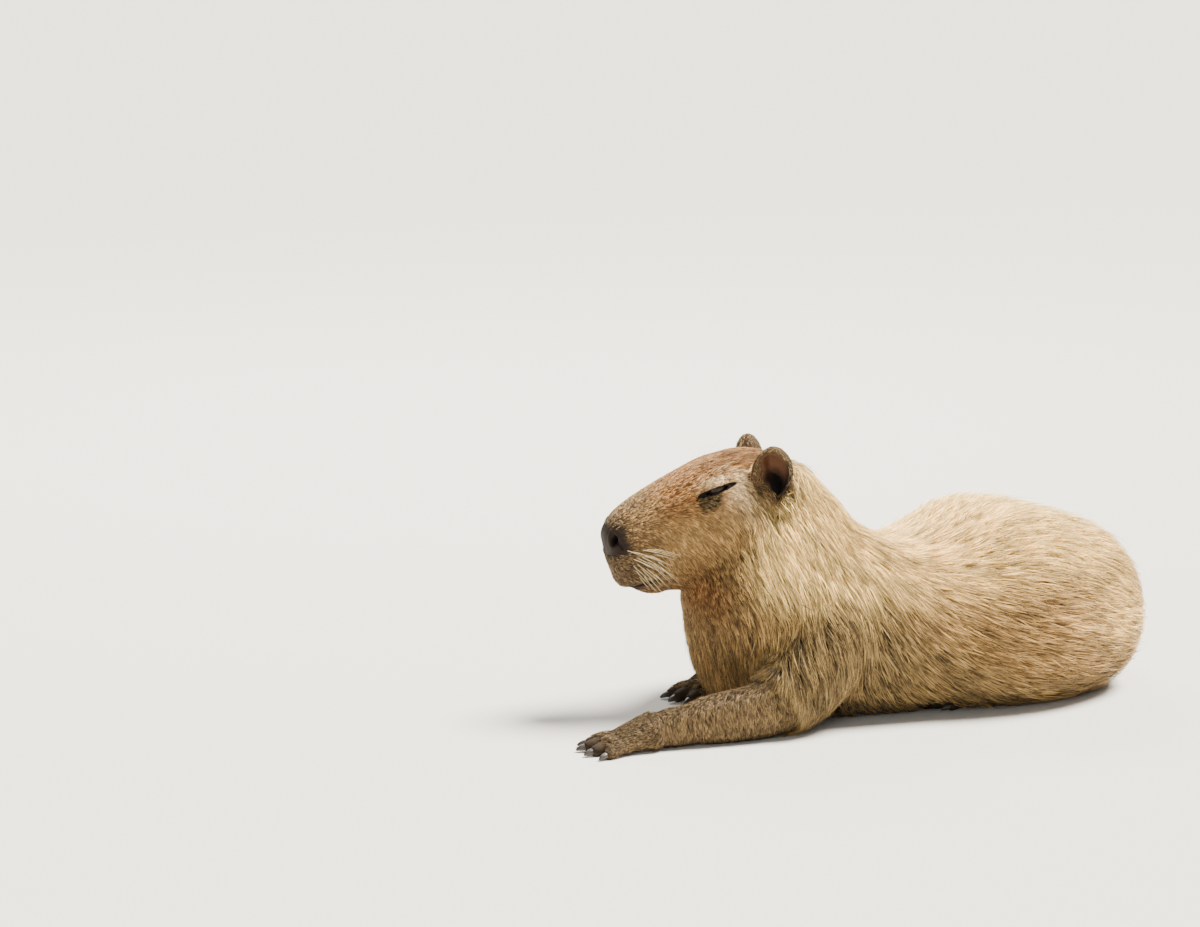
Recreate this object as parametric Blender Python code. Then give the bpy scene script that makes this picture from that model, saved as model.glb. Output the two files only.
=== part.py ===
"""Adult capybara lying on its breast with its head up, as a still, life-size model.

Units are metres. +Z is up and the floor is z = 0. The nose points along -X, the animal's left side is -Y.
The origin lies on the floor, on the flat of the belly. The body is lofted whole, fused and smoothed, and
then parted with thin cuts, so that head, neck, trunk and limbs meet face to face.
"""

import itertools
import math
import random

import bmesh
import bpy
import numpy as np
from mathutils import Matrix, Vector
from mathutils.bvhtree import BVHTree

# ---------------------------------------------------------------- driving sizes
GAP = 0.0003  # what two touching pieces keep between them
FLOOR = 0.0

FUSE_CELL = 0.0055  # cell of the fused surface
BODY_TRIANGLES = 2500

LOCK_SPACING = 0.0450  # between the roots of two locks of the coarse coat
LOCK_LENGTH = 0.086
LOCK_WIDTH = 0.036
LOCK_THICKNESS = 0.0085
LOCK_RINGS = ((0.0, -0.0080, 0.50), (0.36, 0.0010, 1.0), (0.74, 0.0042, 0.80))  # (share, height, width)
LOCK_TIP_HEIGHT = 0.0092

HEAD_TURN = math.radians(12)  # to the animal's right
HEAD_NOD = math.radians(17.4)  # nose below level
HEAD_CENTRE = Vector((-0.2197, 0.0, 0.305))  # between the ears

EYE_RADIUS = 0.0140
EYE_ALONG = 0.087  # forward of the ear line
EYE_ABOVE = 0.036
EYE_ASIDE = 0.0430
LID_THICKNESS = 0.0022

EAR_ALONG = 0.015
EAR_ABOVE = 0.030
EAR_ASIDE = 0.060
EAR_LENGTH = 0.076
EAR_WIDTH = 0.055
EAR_DEPTH = 0.017
EAR_WALL = 0.0040

# Skin colours, for a look at the solids
FUR_TAN = (0.42, 0.30, 0.18)
FUR_RUSSET = (0.36, 0.20, 0.10)
SKIN_DARK = (0.07, 0.055, 0.05)
EYE_DARK = (0.02, 0.014, 0.01)
CLAW_HORN = (0.10, 0.08, 0.06)


# ---------------------------------------------------------------- small tools
def start_empty():
    for old in list(bpy.data.objects):
        bpy.data.objects.remove(old)


def material(name, colour, roughness):
    made = bpy.data.materials.new(name)
    made.use_nodes = True
    shader = made.node_tree.nodes["Principled BSDF"]
    shader.inputs["Base Color"].default_value = (*colour, 1.0)
    shader.inputs["Roughness"].default_value = roughness
    return made


def new_object(name, points, faces):
    mesh = bpy.data.meshes.new(name)
    mesh.from_pydata([tuple(p) for p in points], [], faces)
    mesh.update()
    made = bpy.data.objects.new(name, mesh)
    bpy.context.scene.collection.objects.link(made)
    return made


def drop(*objects):
    for old in objects:
        bpy.data.objects.remove(old)


def copy_of(source, name):
    made = source.copy()
    made.data = source.data.copy()
    made.name = name
    bpy.context.scene.collection.objects.link(made)
    return made


def inflated(source, distance):
    """A copy of a closed body with its surface pushed outward."""
    made = copy_of(source, "inflated")
    push = made.modifiers.new("push", "DISPLACE")
    push.strength = distance
    push.mid_level = 0.0
    return apply_modifiers(made)


def room_for(objects, distance):
    """The convex hull of some bodies, grown by a distance."""
    work = bmesh.new()
    for obj in objects:
        for vertex in obj.data.vertices:
            for x, y, z in itertools.product((-distance, distance), repeat=3):
                work.verts.new(vertex.co + Vector((x, y, z)))
    hull = bmesh.ops.convex_hull(work, input=work.verts)
    inside = {*hull["geom_interior"], *hull["geom_unused"]}
    bmesh.ops.delete(work, geom=[g for g in inside if isinstance(g, bmesh.types.BMVert)], context="VERTS")
    mesh = bpy.data.meshes.new("room")
    work.to_mesh(mesh)
    work.free()
    made = bpy.data.objects.new("room", mesh)
    bpy.context.scene.collection.objects.link(made)
    face_outward(made)
    return made


def apply_modifiers(obj):
    """The object's mesh becomes what its modifiers make of it."""
    graph = bpy.context.evaluated_depsgraph_get()
    made = bpy.data.meshes.new_from_object(obj.evaluated_get(graph))
    obj.modifiers.clear()
    obj.data = made
    return obj


def volume_of(mesh):
    """The enclosed volume, or None where the surface isn't closed."""
    work = bmesh.new()
    work.from_mesh(mesh)
    closed = len(work.faces) > 3 and all(edge.is_manifold for edge in work.edges)
    found = work.calc_volume(signed=True) if closed else None
    work.free()
    return found


def boolean(obj, operation, others):
    """Joins obj with a list of closed mesh objects, cuts them from it or keeps what they share.

    The exact solver's result is kept where the other solver finds the same volume.
    """
    before = obj.data
    holder = bpy.data.collections.new("operands")
    bpy.context.scene.collection.children.link(holder)
    for other in others:
        bpy.context.scene.collection.objects.unlink(other)
        holder.objects.link(other)
    found = {}
    for solver in ("EXACT", "MANIFOLD"):
        obj.data = before
        modifier = obj.modifiers.new("cut", "BOOLEAN")
        modifier.operand_type = "COLLECTION"
        modifier.collection = holder
        modifier.operation = operation
        modifier.solver = solver
        apply_modifiers(obj)
        found[solver] = (obj.data, volume_of(obj.data))
    exact, other = found["EXACT"][1], found["MANIFOLD"][1]
    agreed = exact is not None and (other is None or abs(exact - other) < 1e-11)
    obj.data = found["EXACT" if agreed else "MANIFOLD"][0]
    drop(*others)
    bpy.data.collections.remove(holder)
    return obj


def intersect(obj, other):
    return boolean(obj, "INTERSECT", [other])


def keep_largest(obj):
    """Leaves only the largest closed surface of a node."""
    work = bmesh.new()
    work.from_mesh(obj.data)
    work.verts.ensure_lookup_table()
    seen = set()
    islands = []
    for start in work.verts:
        if start.index in seen:
            continue
        island, front = [], [start]
        seen.add(start.index)
        while front:
            vertex = front.pop()
            island.append(vertex)
            for edge in vertex.link_edges:
                other = edge.other_vert(vertex)
                if other.index not in seen:
                    seen.add(other.index)
                    front.append(other)
        islands.append(island)
    largest = max(islands, key=len)
    loose = [vertex for island in islands if island is not largest for vertex in island]
    bmesh.ops.delete(work, geom=loose, context="VERTS")
    work.to_mesh(obj.data)
    work.free()
    return obj


# ---------------------------------------------------------------- lofted forms
def curve_through(rows, steps):
    """Rows of sizes on a smooth curve through the given rows, with `steps` spans between each two."""
    table = np.array(rows, float)
    table = np.vstack([2 * table[0] - table[1], table, 2 * table[-1] - table[-2]])
    found = []
    for a, b, c, d in zip(table, table[1:], table[2:], table[3:]):
        for k in range(steps):
            t = k / steps
            curl = (2 * a - 5 * b + 4 * c - d) * t**2 + (3 * b - a - 3 * c + d) * t**3
            found.append(0.5 * (2 * b + (c - a) * t + curl))
    found.append(table[-2])
    return np.array(found)


def domed(rows, start, end, rings=3):
    """Rows with a rounded end added at each side that has a dome length."""
    rows = [np.array(r, float) for r in rows]

    def dome(edge, inner, length):
        outward = edge[:3] - inner[:3]
        outward = outward / np.linalg.norm(outward)
        made = []
        for k in range(1, rings + 1):
            angle = 0.5 * math.pi * k / (rings + 0.6)
            row = edge.copy()
            row[:3] = edge[:3] + outward * length * math.sin(angle)
            row[3:6] = edge[3:6] * math.cos(angle)
            made.append(row)
        return made

    before = dome(rows[0], rows[1], start)[::-1] if start else []
    after = dome(rows[-1], rows[-2], end) if end else []
    return np.array([*before, *rows, *after])


def loft(name, stations, lift, sides=20, steps=4, start=0.0, end=0.0, grow=0.0, normal=None, place=None):
    """A closed body through stations (x, y, z, side, up, down, power).

    `side`, `up` and `down` are half sizes of a ring across the run, `power` squares its corners (2 is an
    ellipse), `lift` is roughly which way `up` points, and `grow` is added to every half size.
    """
    rows = domed(curve_through(stations, steps), start and start + grow, end and end + grow)
    rows[:, 3:6] += grow
    centres = rows[:, :3]
    runs = np.gradient(centres, axis=0)
    lift = np.array(lift, float)
    points = []
    for centre, run, (side, up, down, power) in zip(centres, runs, rows[:, 3:]):
        along = np.array(normal if normal is not None else run, float)
        along = along / np.linalg.norm(along)
        aside = np.cross(along, lift)
        aside = aside / np.linalg.norm(aside)
        upward = np.cross(aside, along)
        for k in range(sides):
            angle = 2 * math.pi * k / sides
            c, s = math.cos(angle), math.sin(angle)
            across = side * math.copysign(abs(c) ** (2 / power), c)
            height = (up if s > 0 else down) * math.copysign(abs(s) ** (2 / power), s)
            points.append(centre + aside * across + upward * height)
    count = len(rows)
    first, last = len(points), len(points) + 1
    points += [centres[0], centres[-1]]
    faces = []
    for i in range(count - 1):
        for k in range(sides):
            a, b = i * sides + k, i * sides + (k + 1) % sides
            faces.append((a, a + sides, b + sides, b))
    for k in range(sides):
        following = (k + 1) % sides
        top = (count - 1) * sides
        faces.append((first, k, following))
        faces.append((last, top + following, top + k))
    made = new_object(name, points, faces)
    if place is not None:
        made.data.transform(place)
    face_outward(made)
    return made


def face_outward(obj):
    work = bmesh.new()
    work.from_mesh(obj.data)
    bmesh.ops.recalc_face_normals(work, faces=work.faces)
    if work.calc_volume(signed=True) < 0:
        bmesh.ops.reverse_faces(work, faces=work.faces)
    work.to_mesh(obj.data)
    work.free()


def block(name, centre, size, turn=None):
    """A box, turned by a 3x3 matrix."""
    work = bmesh.new()
    bmesh.ops.create_cube(work, size=1.0)
    mesh = bpy.data.meshes.new(name)
    work.to_mesh(mesh)
    work.free()
    turned = (turn or Matrix.Identity(3)).to_4x4()
    mesh.transform(Matrix.Translation(centre) @ turned @ Matrix.Diagonal((*size, 1.0)))
    made = bpy.data.objects.new(name, mesh)
    bpy.context.scene.collection.objects.link(made)
    return made


def half_space(point, normal, reach=1.2):
    """A large box on the side of a plane that its normal points to."""
    normal = Vector(normal).normalized()
    turn = normal.to_track_quat("Z", "Y").to_matrix()
    return block("half", Vector(point) + normal * reach / 2, (2 * reach, 2 * reach, reach), turn)


def ball(name, centre, radii, turn=None, segments=20, rings=12):
    work = bmesh.new()
    bmesh.ops.create_uvsphere(work, u_segments=segments, v_segments=rings, radius=1.0)
    mesh = bpy.data.meshes.new(name)
    work.to_mesh(mesh)
    work.free()
    turned = (turn or Matrix.Identity(3)).to_4x4()
    mesh.transform(Matrix.Translation(centre) @ turned @ Matrix.Diagonal((*radii, 1.0)))
    made = bpy.data.objects.new(name, mesh)
    bpy.context.scene.collection.objects.link(made)
    face_outward(made)
    return made


# ---------------------------------------------------------------- the head's own frame
def head_frame():
    """Places points given as (forward, to the animal's left, up) from between the ears."""
    level = Vector((-math.cos(HEAD_TURN), math.sin(HEAD_TURN), 0.0))
    forward = level * math.cos(HEAD_NOD) + Vector((0, 0, -math.sin(HEAD_NOD)))
    upward = level * math.sin(HEAD_NOD) + Vector((0, 0, math.cos(HEAD_NOD)))
    left = upward.cross(forward)
    turn = Matrix((forward, left, upward)).transposed()
    return Matrix.Translation(HEAD_CENTRE) @ turn.to_4x4()


HEAD = head_frame()
HEAD_TURNED = HEAD.to_3x3()


# The head's part of the body in a side view, (forward, up), as a convex outline listed leftward.
HEAD_CUT = (
    (-0.042, 0.120), (-0.036, 0.050), (0.050, -0.101),
    (0.170, -0.1015), (0.420, -0.1015), (0.420, 0.250),
)


# ---------------------------------------------------------------- stations of the body
def trunk_stations():
    """(along x, top, bottom, half width, widest level, corner power)"""
    return [
        (-0.290, 0.205, 0.010, 0.105, 0.110, 2.2),
        (-0.250, 0.235, -0.006, 0.132, 0.108, 2.3),
        (-0.200, 0.257, -0.012, 0.148, 0.105, 2.3),
        (-0.150, 0.258, -0.014, 0.156, 0.102, 2.3),
        (-0.100, 0.234, -0.016, 0.160, 0.100, 2.3),
        (-0.050, 0.210, -0.016, 0.166, 0.098, 2.35),
        (0.000, 0.216, -0.018, 0.174, 0.098, 2.45),
        (0.050, 0.233, -0.018, 0.184, 0.100, 2.6),
        (0.100, 0.241, -0.018, 0.188, 0.102, 2.6),
        (0.150, 0.236, -0.018, 0.182, 0.102, 2.55),
        (0.200, 0.219, -0.014, 0.164, 0.102, 2.4),
        (0.240, 0.203, -0.002, 0.139, 0.102, 2.3),
        (0.270, 0.181, 0.020, 0.106, 0.102, 2.2),
    ]


def trunk():
    rows = [
        (x, 0.0, level, half, top - level, level - bottom, power)
        for x, top, bottom, half, level, power in trunk_stations()
    ]
    return loft("trunk", rows, (0, 0, 1), sides=32, start=0.035, end=0.020, normal=(1, 0, 0))


def neck_form():
    """From the breast up to the back of the head; `up` of a ring points forward."""
    rows = [
        (-0.185, 0.000, 0.070, 0.140, 0.130, 0.100, 2.2),
        (-0.190, 0.000, 0.120, 0.146, 0.150, 0.095, 2.2),
        (-0.192, 0.000, 0.165, 0.136, 0.158, 0.090, 2.2),
        (-0.197, 0.002, 0.215, 0.114, 0.138, 0.078, 2.1),
        (-0.204, 0.005, 0.260, 0.090, 0.100, 0.066, 2.1),
        (-0.212, 0.008, 0.292, 0.070, 0.060, 0.040, 2.0),
    ]
    return loft("neck_form", rows, (-1, 0, 0), sides=28, start=0.03, end=0.02)


def head_form():
    """Stations run forward from behind the ears: (along, top, bottom, half width, widest level, power)."""
    stations = [
        (-0.030, 0.020, -0.070, 0.060, -0.028, 2.2),
        (-0.005, 0.048, -0.086, 0.066, -0.024, 2.3),
        (0.025, 0.063, -0.097, 0.069, -0.022, 2.4),
        (0.060, 0.069, -0.102, 0.068, -0.022, 2.5),
        (0.100, 0.069, -0.102, 0.062, -0.022, 2.6),
        (0.135, 0.065, -0.098, 0.055, -0.020, 2.7),
        (0.170, 0.058, -0.091, 0.050, -0.018, 2.8),
        (0.200, 0.049, -0.082, 0.048, -0.016, 2.9),
        (0.225, 0.038, -0.072, 0.045, -0.014, 2.9),
        (0.240, 0.026, -0.063, 0.040, -0.014, 2.7),
    ]
    rows = [
        (along, 0.0, level, half, top - level, level - bottom, power)
        for along, top, bottom, half, level, power in stations
    ]
    return loft(
        "head_form", rows, (0, 0, 1), sides=36, start=0.02, end=0.012, normal=(1, 0, 0), place=HEAD
    )


def foreleg_form(side):
    """side is -1 for the left foreleg, stretched forward, and 1 for the right one, drawn back."""
    if side < 0:
        rows = [
            (-0.150, -0.095, 0.155, 0.050, 0.060, 0.060, 2.0),
            (-0.195, -0.120, 0.110, 0.048, 0.056, 0.056, 2.0),
            (-0.250, -0.133, 0.060, 0.041, 0.048, 0.050, 2.1),
            (-0.310, -0.137, 0.037, 0.037, 0.038, 0.040, 2.2),
            (-0.380, -0.136, 0.031, 0.031, 0.034, 0.034, 2.2),
            (-0.435, -0.132, 0.026, 0.0275, 0.027, 0.029, 2.2),
            (-0.462, -0.130, 0.0235, 0.0262, 0.0225, 0.026, 2.2),
        ]
    else:
        rows = [
            (-0.105, 0.095, 0.155, 0.050, 0.060, 0.060, 2.0),
            (-0.105, 0.125, 0.105, 0.050, 0.056, 0.056, 2.0),
            (-0.112, 0.138, 0.058, 0.044, 0.048, 0.050, 2.1),
            (-0.155, 0.132, 0.037, 0.037, 0.036, 0.040, 2.2),
            (-0.203, 0.117, 0.030, 0.031, 0.030, 0.033, 2.2),
            (-0.232, 0.105, 0.026, 0.027, 0.025, 0.028, 2.2),
            (-0.254, 0.096, 0.0235, 0.0255, 0.0225, 0.026, 2.2),
        ]
    return loft("foreleg_form", rows, (0, 0, 1), sides=16, start=0.03, end=0.006)


def thigh_form(side):
    """The folded hind leg: hip, knee beside the belly, and shank back along the floor."""
    rows = [
        (0.165, side * 0.090, 0.165, 0.060, 0.060, 0.060, 2.0),
        (0.110, side * 0.118, 0.145, 0.068, 0.075, 0.075, 2.0),
        (0.050, side * 0.132, 0.110, 0.056, 0.068, 0.068, 2.0),
        (0.010, side * 0.138, 0.080, 0.042, 0.052, 0.052, 2.0),
    ]
    return loft("thigh_form", rows, (0, 0, 1), sides=16, start=0.03, end=0.03)


# ---------------------------------------------------------------- the fused body
def fused_body():
    """All forms of flesh as one smooth closed surface, flat where it rests on the floor."""
    forms = [trunk(), neck_form(), head_form()]
    forms += [foreleg_form(side) for side in (-1, 1)]
    forms += [thigh_form(side) for side in (-1, 1)]
    work = bmesh.new()
    for form in forms:
        work.from_mesh(form.data)
    mesh = bpy.data.meshes.new("body")
    work.to_mesh(mesh)
    work.free()
    drop(*forms)
    body = bpy.data.objects.new("body", mesh)
    bpy.context.scene.collection.objects.link(body)
    fuse = body.modifiers.new("fuse", "REMESH")
    fuse.mode = "VOXEL"
    fuse.voxel_size = FUSE_CELL
    apply_modifiers(body)
    soften(body)
    thin_out(body, BODY_TRIANGLES)
    boolean(body, "UNION", coarse_locks(body))
    boolean(body, "DIFFERENCE", [half_space((0, 0, FLOOR), (0, 0, -1))])
    return keep_largest(body)


def soften(body):
    """Rounds the creases between the forms, least on the head."""
    group = body.vertex_groups.new(name="soft")
    to_head = HEAD.inverted()
    for vertex in body.data.vertices:
        forward = (to_head @ vertex.co).x
        weight = 1.0 - 0.75 * min(1.0, max(0.0, (forward - 0.02) / 0.06))
        group.add([vertex.index], weight, "REPLACE")
    smooth = body.modifiers.new("soften", "SMOOTH")
    smooth.factor = 0.6
    smooth.iterations = 14
    smooth.vertex_group = group.name
    apply_modifiers(body)
    body.vertex_groups.clear()


def thin_out(body, triangles):
    body.data.calc_loop_triangles()
    fewer = body.modifiers.new("fewer", "DECIMATE")
    fewer.ratio = triangles / len(body.data.loop_triangles)
    fewer.use_collapse_triangulate = True
    apply_modifiers(body)


# ---------------------------------------------------------------- the coarse coat
NAPE = Vector((-0.215, 0.0, 0.345))  # the body's hair runs away from here


def step(low, high, value):
    """0 below low, 1 above high, and smooth between."""
    t = min(1.0, max(0.0, (value - low) / (high - low)))
    return t * t * (3 - 2 * t)


def lie_of_coat(point, normal):
    """Which way the hair lies: down the shoulder and breast, back along the rump, out along the arms."""
    along = (point - NAPE).normalized()
    along += Vector((0.75, 0, 0)) * step(-0.12, 0.16, point.x)
    arm = step(0.095, 0.125, abs(point.y)) * (1.0 - step(0.07, 0.12, point.z))
    if point.y < 0:
        arm *= 1.0 - step(-0.33, -0.25, point.x)
    else:
        arm *= 1.0 - step(-0.17, -0.11, point.x)
    along = along.lerp(Vector((-1.0, 0, -0.25)), arm)
    along -= normal * along.dot(normal)
    return along.normalized()


def outside(outline, forward, upward):
    """How far a point of the side view lies outside a convex outline; negative inside."""
    spot, farthest = Vector((forward, upward)), -1.0
    for start, end in zip(outline, outline[1:] + outline[:1]):
        along = (Vector(end) - Vector(start)).normalized()
        away = spot - Vector(start)
        farthest = max(farthest, away.x * along.y - away.y * along.x)
    return farthest


def carries_locks(point, normal):
    """Only the long coat of neck, trunk and thighs, clear of the ears, the floor and the feet."""
    in_head = HEAD.inverted() @ point
    if outside(HEAD_CUT, in_head.x, in_head.z) < 0.010:
        return False
    ears = [HEAD @ Vector((EAR_ALONG, side * EAR_ASIDE, EAR_ABOVE)) for side in (-1, 1)]
    if any((point - centre).length < 0.052 for centre in ears):
        return False
    if point.z < 0.052 or normal.z < -0.30:
        return False
    arm_starts = -0.275 if point.y < 0 else -0.145
    return not (abs(point.y) > 0.10 and point.x < arm_starts)


def lock(tree, root, normal, length, width, turn):
    """A flat, tapered lock that leaves the surface at its root and follows it to a raised tip.

    It is None where its tip would come too close to the floor, or would fold back in a crease.
    """
    points, at, facing, walked = [], root.copy(), normal.copy(), 0.0
    stops = [*LOCK_RINGS, (1.0, LOCK_TIP_HEIGHT, 0.0)]
    for share, height, wide in stops:
        while walked < share - 1e-6:
            pace = min(0.09, share - walked)
            along = Matrix.Rotation(turn, 3, facing) @ lie_of_coat(at, facing)
            at, facing, _, _ = tree.find_nearest(at + along * pace * length)
            walked += pace
        along = Matrix.Rotation(turn, 3, facing) @ lie_of_coat(at, facing)
        aside = facing.cross(along).normalized()
        centre = at + facing * height
        if wide == 0.0:
            points.append(centre)
            if centre.z < 0.012 or (centre - root).length < 0.8 * length:
                return None
            break
        half = aside * width * wide / 2
        thick = facing * LOCK_THICKNESS / 2 * (0.6 + 0.4 * wide)
        points += [centre + half - thick, centre + thick, centre - half - thick]
    rings = len(LOCK_RINGS)
    faces = [(0, 1, 2)]
    for i in range(rings - 1):
        for k in range(3):
            a, b = 3 * i + k, 3 * i + (k + 1) % 3
            faces += [(a, a + 3, b + 3), (a, b + 3, b)]
    last = 3 * (rings - 1)
    faces += [(last + k, last + 3, last + (k + 1) % 3) for k in range(3)]
    made = new_object("lock", points, faces)
    face_outward(made)
    return made


def coarse_locks(body):
    """Locks evenly spread over the long coat, in the same places at each run."""
    chance = random.Random(7)
    faces = [polygon.vertices for polygon in body.data.polygons]
    tree = BVHTree.FromPolygons([vertex.co for vertex in body.data.vertices], faces)
    sites = []
    for polygon in body.data.polygons:
        corners = [body.data.vertices[i].co for i in polygon.vertices]
        for _ in range(1 + int(polygon.area / 0.00008)):
            a, b = sorted((chance.random(), chance.random()))
            spot = corners[0] * a + corners[1] * (b - a) + corners[2] * (1 - b)
            if carries_locks(spot, polygon.normal):
                if tree.ray_cast(spot + polygon.normal * 0.002, polygon.normal, 0.07)[0] is None:
                    sites.append((spot, polygon.normal.copy()))
    chance.shuffle(sites)
    chosen = []
    for spot, normal in sites:
        if all((spot - other).length > LOCK_SPACING for other, _ in chosen):
            chosen.append((spot, normal))
    locks = []
    for spot, normal in chosen:
        length = LOCK_LENGTH * chance.uniform(0.85, 1.12)
        width = LOCK_WIDTH * chance.uniform(0.85, 1.15)
        made = lock(tree, spot, normal, length, width, math.radians(chance.uniform(-9, 9)))
        if made is not None:
            locks.append(made)
    return locks


# ---------------------------------------------------------------- feet
# Along a toe: share of its length, rise of its middle and girth as a share of its radius.
TOE_STOPS = ((0.0, 0.003, 1.0), (0.35, 0.005, 1.0), (0.7, 0.0015, 0.92), (1.0, 0.0, 0.80))
# Along a nail: distance from the toe's tip, fall of its middle and girth as a share of the toe's radius.
NAIL_STOPS = ((-0.005, 0.0, 0.60), (0.003, 0.0004, 0.62), (0.009, 0.0016, 0.50), (0.0135, 0.0030, 0.28))


def digit_stations(root, heading, length, radius):
    """A toe that arches a little between its root and its tip, both of which touch the floor."""
    rows = []
    for share, rise, girth in TOE_STOPS:
        at = root + heading * length * share
        half = radius * girth
        rows.append((at.x, at.y, half - 0.0009 + rise, half, half, half, 2.2))
    return rows


FOREFOOT_TOES = ((-19, 0.036, 0.0085), (-6, 0.044, 0.0092), (7, 0.043, 0.0092), (21, 0.034, 0.0085))
HINDFOOT_TOES = ((-15, 0.046, 0.0098), (0, 0.055, 0.0105), (15, 0.046, 0.0098))


def foot_pieces(wrist, heading, palm, half_width, toes):
    """The palm, which runs on as a thin web between the toes, and the toes, as separate closed bodies."""
    aside = Vector((-heading.y, heading.x, 0))
    front = wrist + heading * palm
    palm_rows = []
    for share, wide, tall, level in (
        (0.0, 0.94, 0.0245, wrist.z),
        (0.4, 0.92, 0.0185, 0.0195),
        (0.75, 1.0, 0.0140, 0.0145),
        (1.0, 0.98, 0.0105, 0.0095),
        (1.22, 0.90, 0.0050, 0.0038),
    ):
        at = wrist + heading * palm * share
        palm_rows.append((at.x, at.y, level, half_width * wide, tall, min(tall, level + 0.002), 2.4))
    pieces = [loft("palm", palm_rows, (0, 0, 1), sides=10, steps=1, end=0.003, normal=heading)]
    tips = []
    for k, (spread, length, radius) in enumerate(toes):
        place = (k / (len(toes) - 1) - 0.5) * 2
        turned = Matrix.Rotation(math.radians(spread), 3, "Z") @ heading
        root = front + aside * place * half_width * 0.72 - heading * 0.010
        rows = digit_stations(root, turned, length, radius)
        pieces.append(loft("toe", rows, (0, 0, 1), sides=6, steps=1))
        tips.append((Vector(rows[-1][:3]), turned, rows[-1][3]))
    return pieces, tips


def foot(name, wrist, heading, palm, half_width, toes):
    pieces, tips = foot_pieces(wrist, heading, palm, half_width, toes)
    made = pieces[0]
    made.name = name
    boolean(made, "UNION", pieces[1:])
    boolean(made, "DIFFERENCE", [half_space((0, 0, FLOOR), (0, 0, -1))])
    keep_largest(made)
    return made, tips


def claw(name, tip, heading, radius, grow=0.0):
    """A blunt, hoof-like nail, rooted in the toe and carrying on its line down to the floor."""
    rows = []
    for along, fall, girth in NAIL_STOPS:
        at = tip + heading * (along - grow if along < 0 else along)
        rows.append((at.x, at.y, at.z - fall, *(radius * girth,) * 3, 2.0))
    made = loft(name, rows, (0, 0, 1), sides=6, steps=1, grow=grow)
    if not grow:
        boolean(made, "DIFFERENCE", [half_space((0, 0, FLOOR), (0, 0, -1))])
    return made


# (name, ankle point, heading in degrees from -X towards the right side, palm length, half width, toes)
FEET = (
    ("forefoot_left", (-0.462, -0.130, 0.0225), 4.0, 0.052, 0.030, FOREFOOT_TOES),
    ("forefoot_right", (-0.254, 0.096, 0.0225), -24.0, 0.048, 0.028, FOREFOOT_TOES),
    ("hindfoot_left", (0.100, -0.080, 0.0240), -2.0, 0.085, 0.027, HINDFOOT_TOES),
    ("hindfoot_right", (0.080, 0.112, 0.0240), 10.0, 0.085, 0.027, HINDFOOT_TOES),
)


def foot_heading(degrees):
    turn = math.radians(degrees)
    return Vector((-math.cos(turn), math.sin(turn), 0.0))


# ---------------------------------------------------------------- eyes and lids
def eye_centre(side):
    """side is 1 for the left eye, in the head's frame."""
    return HEAD @ Vector((EYE_ALONG, side * EYE_ASIDE, EYE_ABOVE))


def eye_frame(side):
    """Outward, along the slit, and up across it."""
    outward = (HEAD_TURNED @ Vector((0.22, side, 0.18))).normalized()
    slit = HEAD_TURNED @ Vector((1.0, 0, -0.02))
    slit = (slit - outward * slit.dot(outward)).normalized()
    upward = outward.cross(slit) * side
    return outward, slit, upward


def give_lids(head, side):
    """Lids as a shell over the eyeball with an almond slit, and the socket behind them."""
    centre = eye_centre(side)
    outward, slit, upward = eye_frame(side)
    turn = Matrix((slit, upward, outward)).transposed()
    lid = EYE_RADIUS + LID_THICKNESS
    lids = ball("lids", centre, (lid + 0.0035, lid, lid), turn, 16, 10)
    boolean(head, "UNION", [lids])
    socket = ball("socket", centre, (EYE_RADIUS + GAP,) * 3, turn)
    opening = ball("opening", centre + outward * EYE_RADIUS * 1.05, (0.0165, 0.0050, 0.0125), turn, 16, 10)
    boolean(head, "DIFFERENCE", [socket, opening])


def eye(name, side):
    made = ball(name, eye_centre(side), (EYE_RADIUS,) * 3, None, 12, 8)
    made.data.shade_smooth()
    return made


# ---------------------------------------------------------------- nose and mouth
def carve_muzzle(head):
    cutters = []
    for side in (-1, 1):
        nostril = HEAD @ Vector((0.2380, side * 0.0330, 0.0120))
        inward = (HEAD_TURNED @ Vector((0.55, side * 0.83, 0.10))).normalized()
        slant = HEAD_TURNED @ Vector((-0.25, side * 0.2, 1.0))
        slant = (slant - inward * slant.dot(inward)).normalized()
        turn = Matrix((slant, inward.cross(slant), inward)).transposed()
        cutters.append(ball("nostril", nostril, (0.0085, 0.0045, 0.0075), turn, 14, 10))
    cutters.append(mouth_line())
    cleft = HEAD @ Vector((0.252, 0.0, -0.030))
    cutters.append(block("cleft", cleft, (0.011, 0.0024, 0.040), HEAD_TURNED))
    boolean(head, "DIFFERENCE", cutters)


def mouth_line():
    """A thin horseshoe plate: the groove between the hanging upper lips and the chin."""
    inner, outer, half_tall = [], [], 0.0013
    spans = 24
    for k in range(spans + 1):
        turn = math.pi * (k / spans - 0.5)
        along = 0.196 + 0.058 * math.cos(turn) ** 0.8
        aside = 0.062 * math.sin(turn)
        level = -0.0605 + 0.010 * abs(math.sin(turn)) ** 3
        outer.append((along, aside, level))
        inner.append((along - 0.014 * math.cos(turn) - 0.0005, aside * 0.70, level))
    points, faces = [], []
    for edge, root in zip(outer, inner):
        for (x, y, level), lift in ((edge, 1), (edge, -1), (root, -1), (root, 1)):
            points.append(HEAD @ Vector((x, y, level + lift * half_tall)))
    for i in range(spans):
        for k in range(4):
            a, b = 4 * i + k, 4 * i + (k + 1) % 4
            faces.append((a, b, b + 4, a + 4))
    faces += [(3, 2, 1, 0), tuple(4 * spans + k for k in range(4))]
    made = new_object("mouth", points, faces)
    face_outward(made)
    return made


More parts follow.
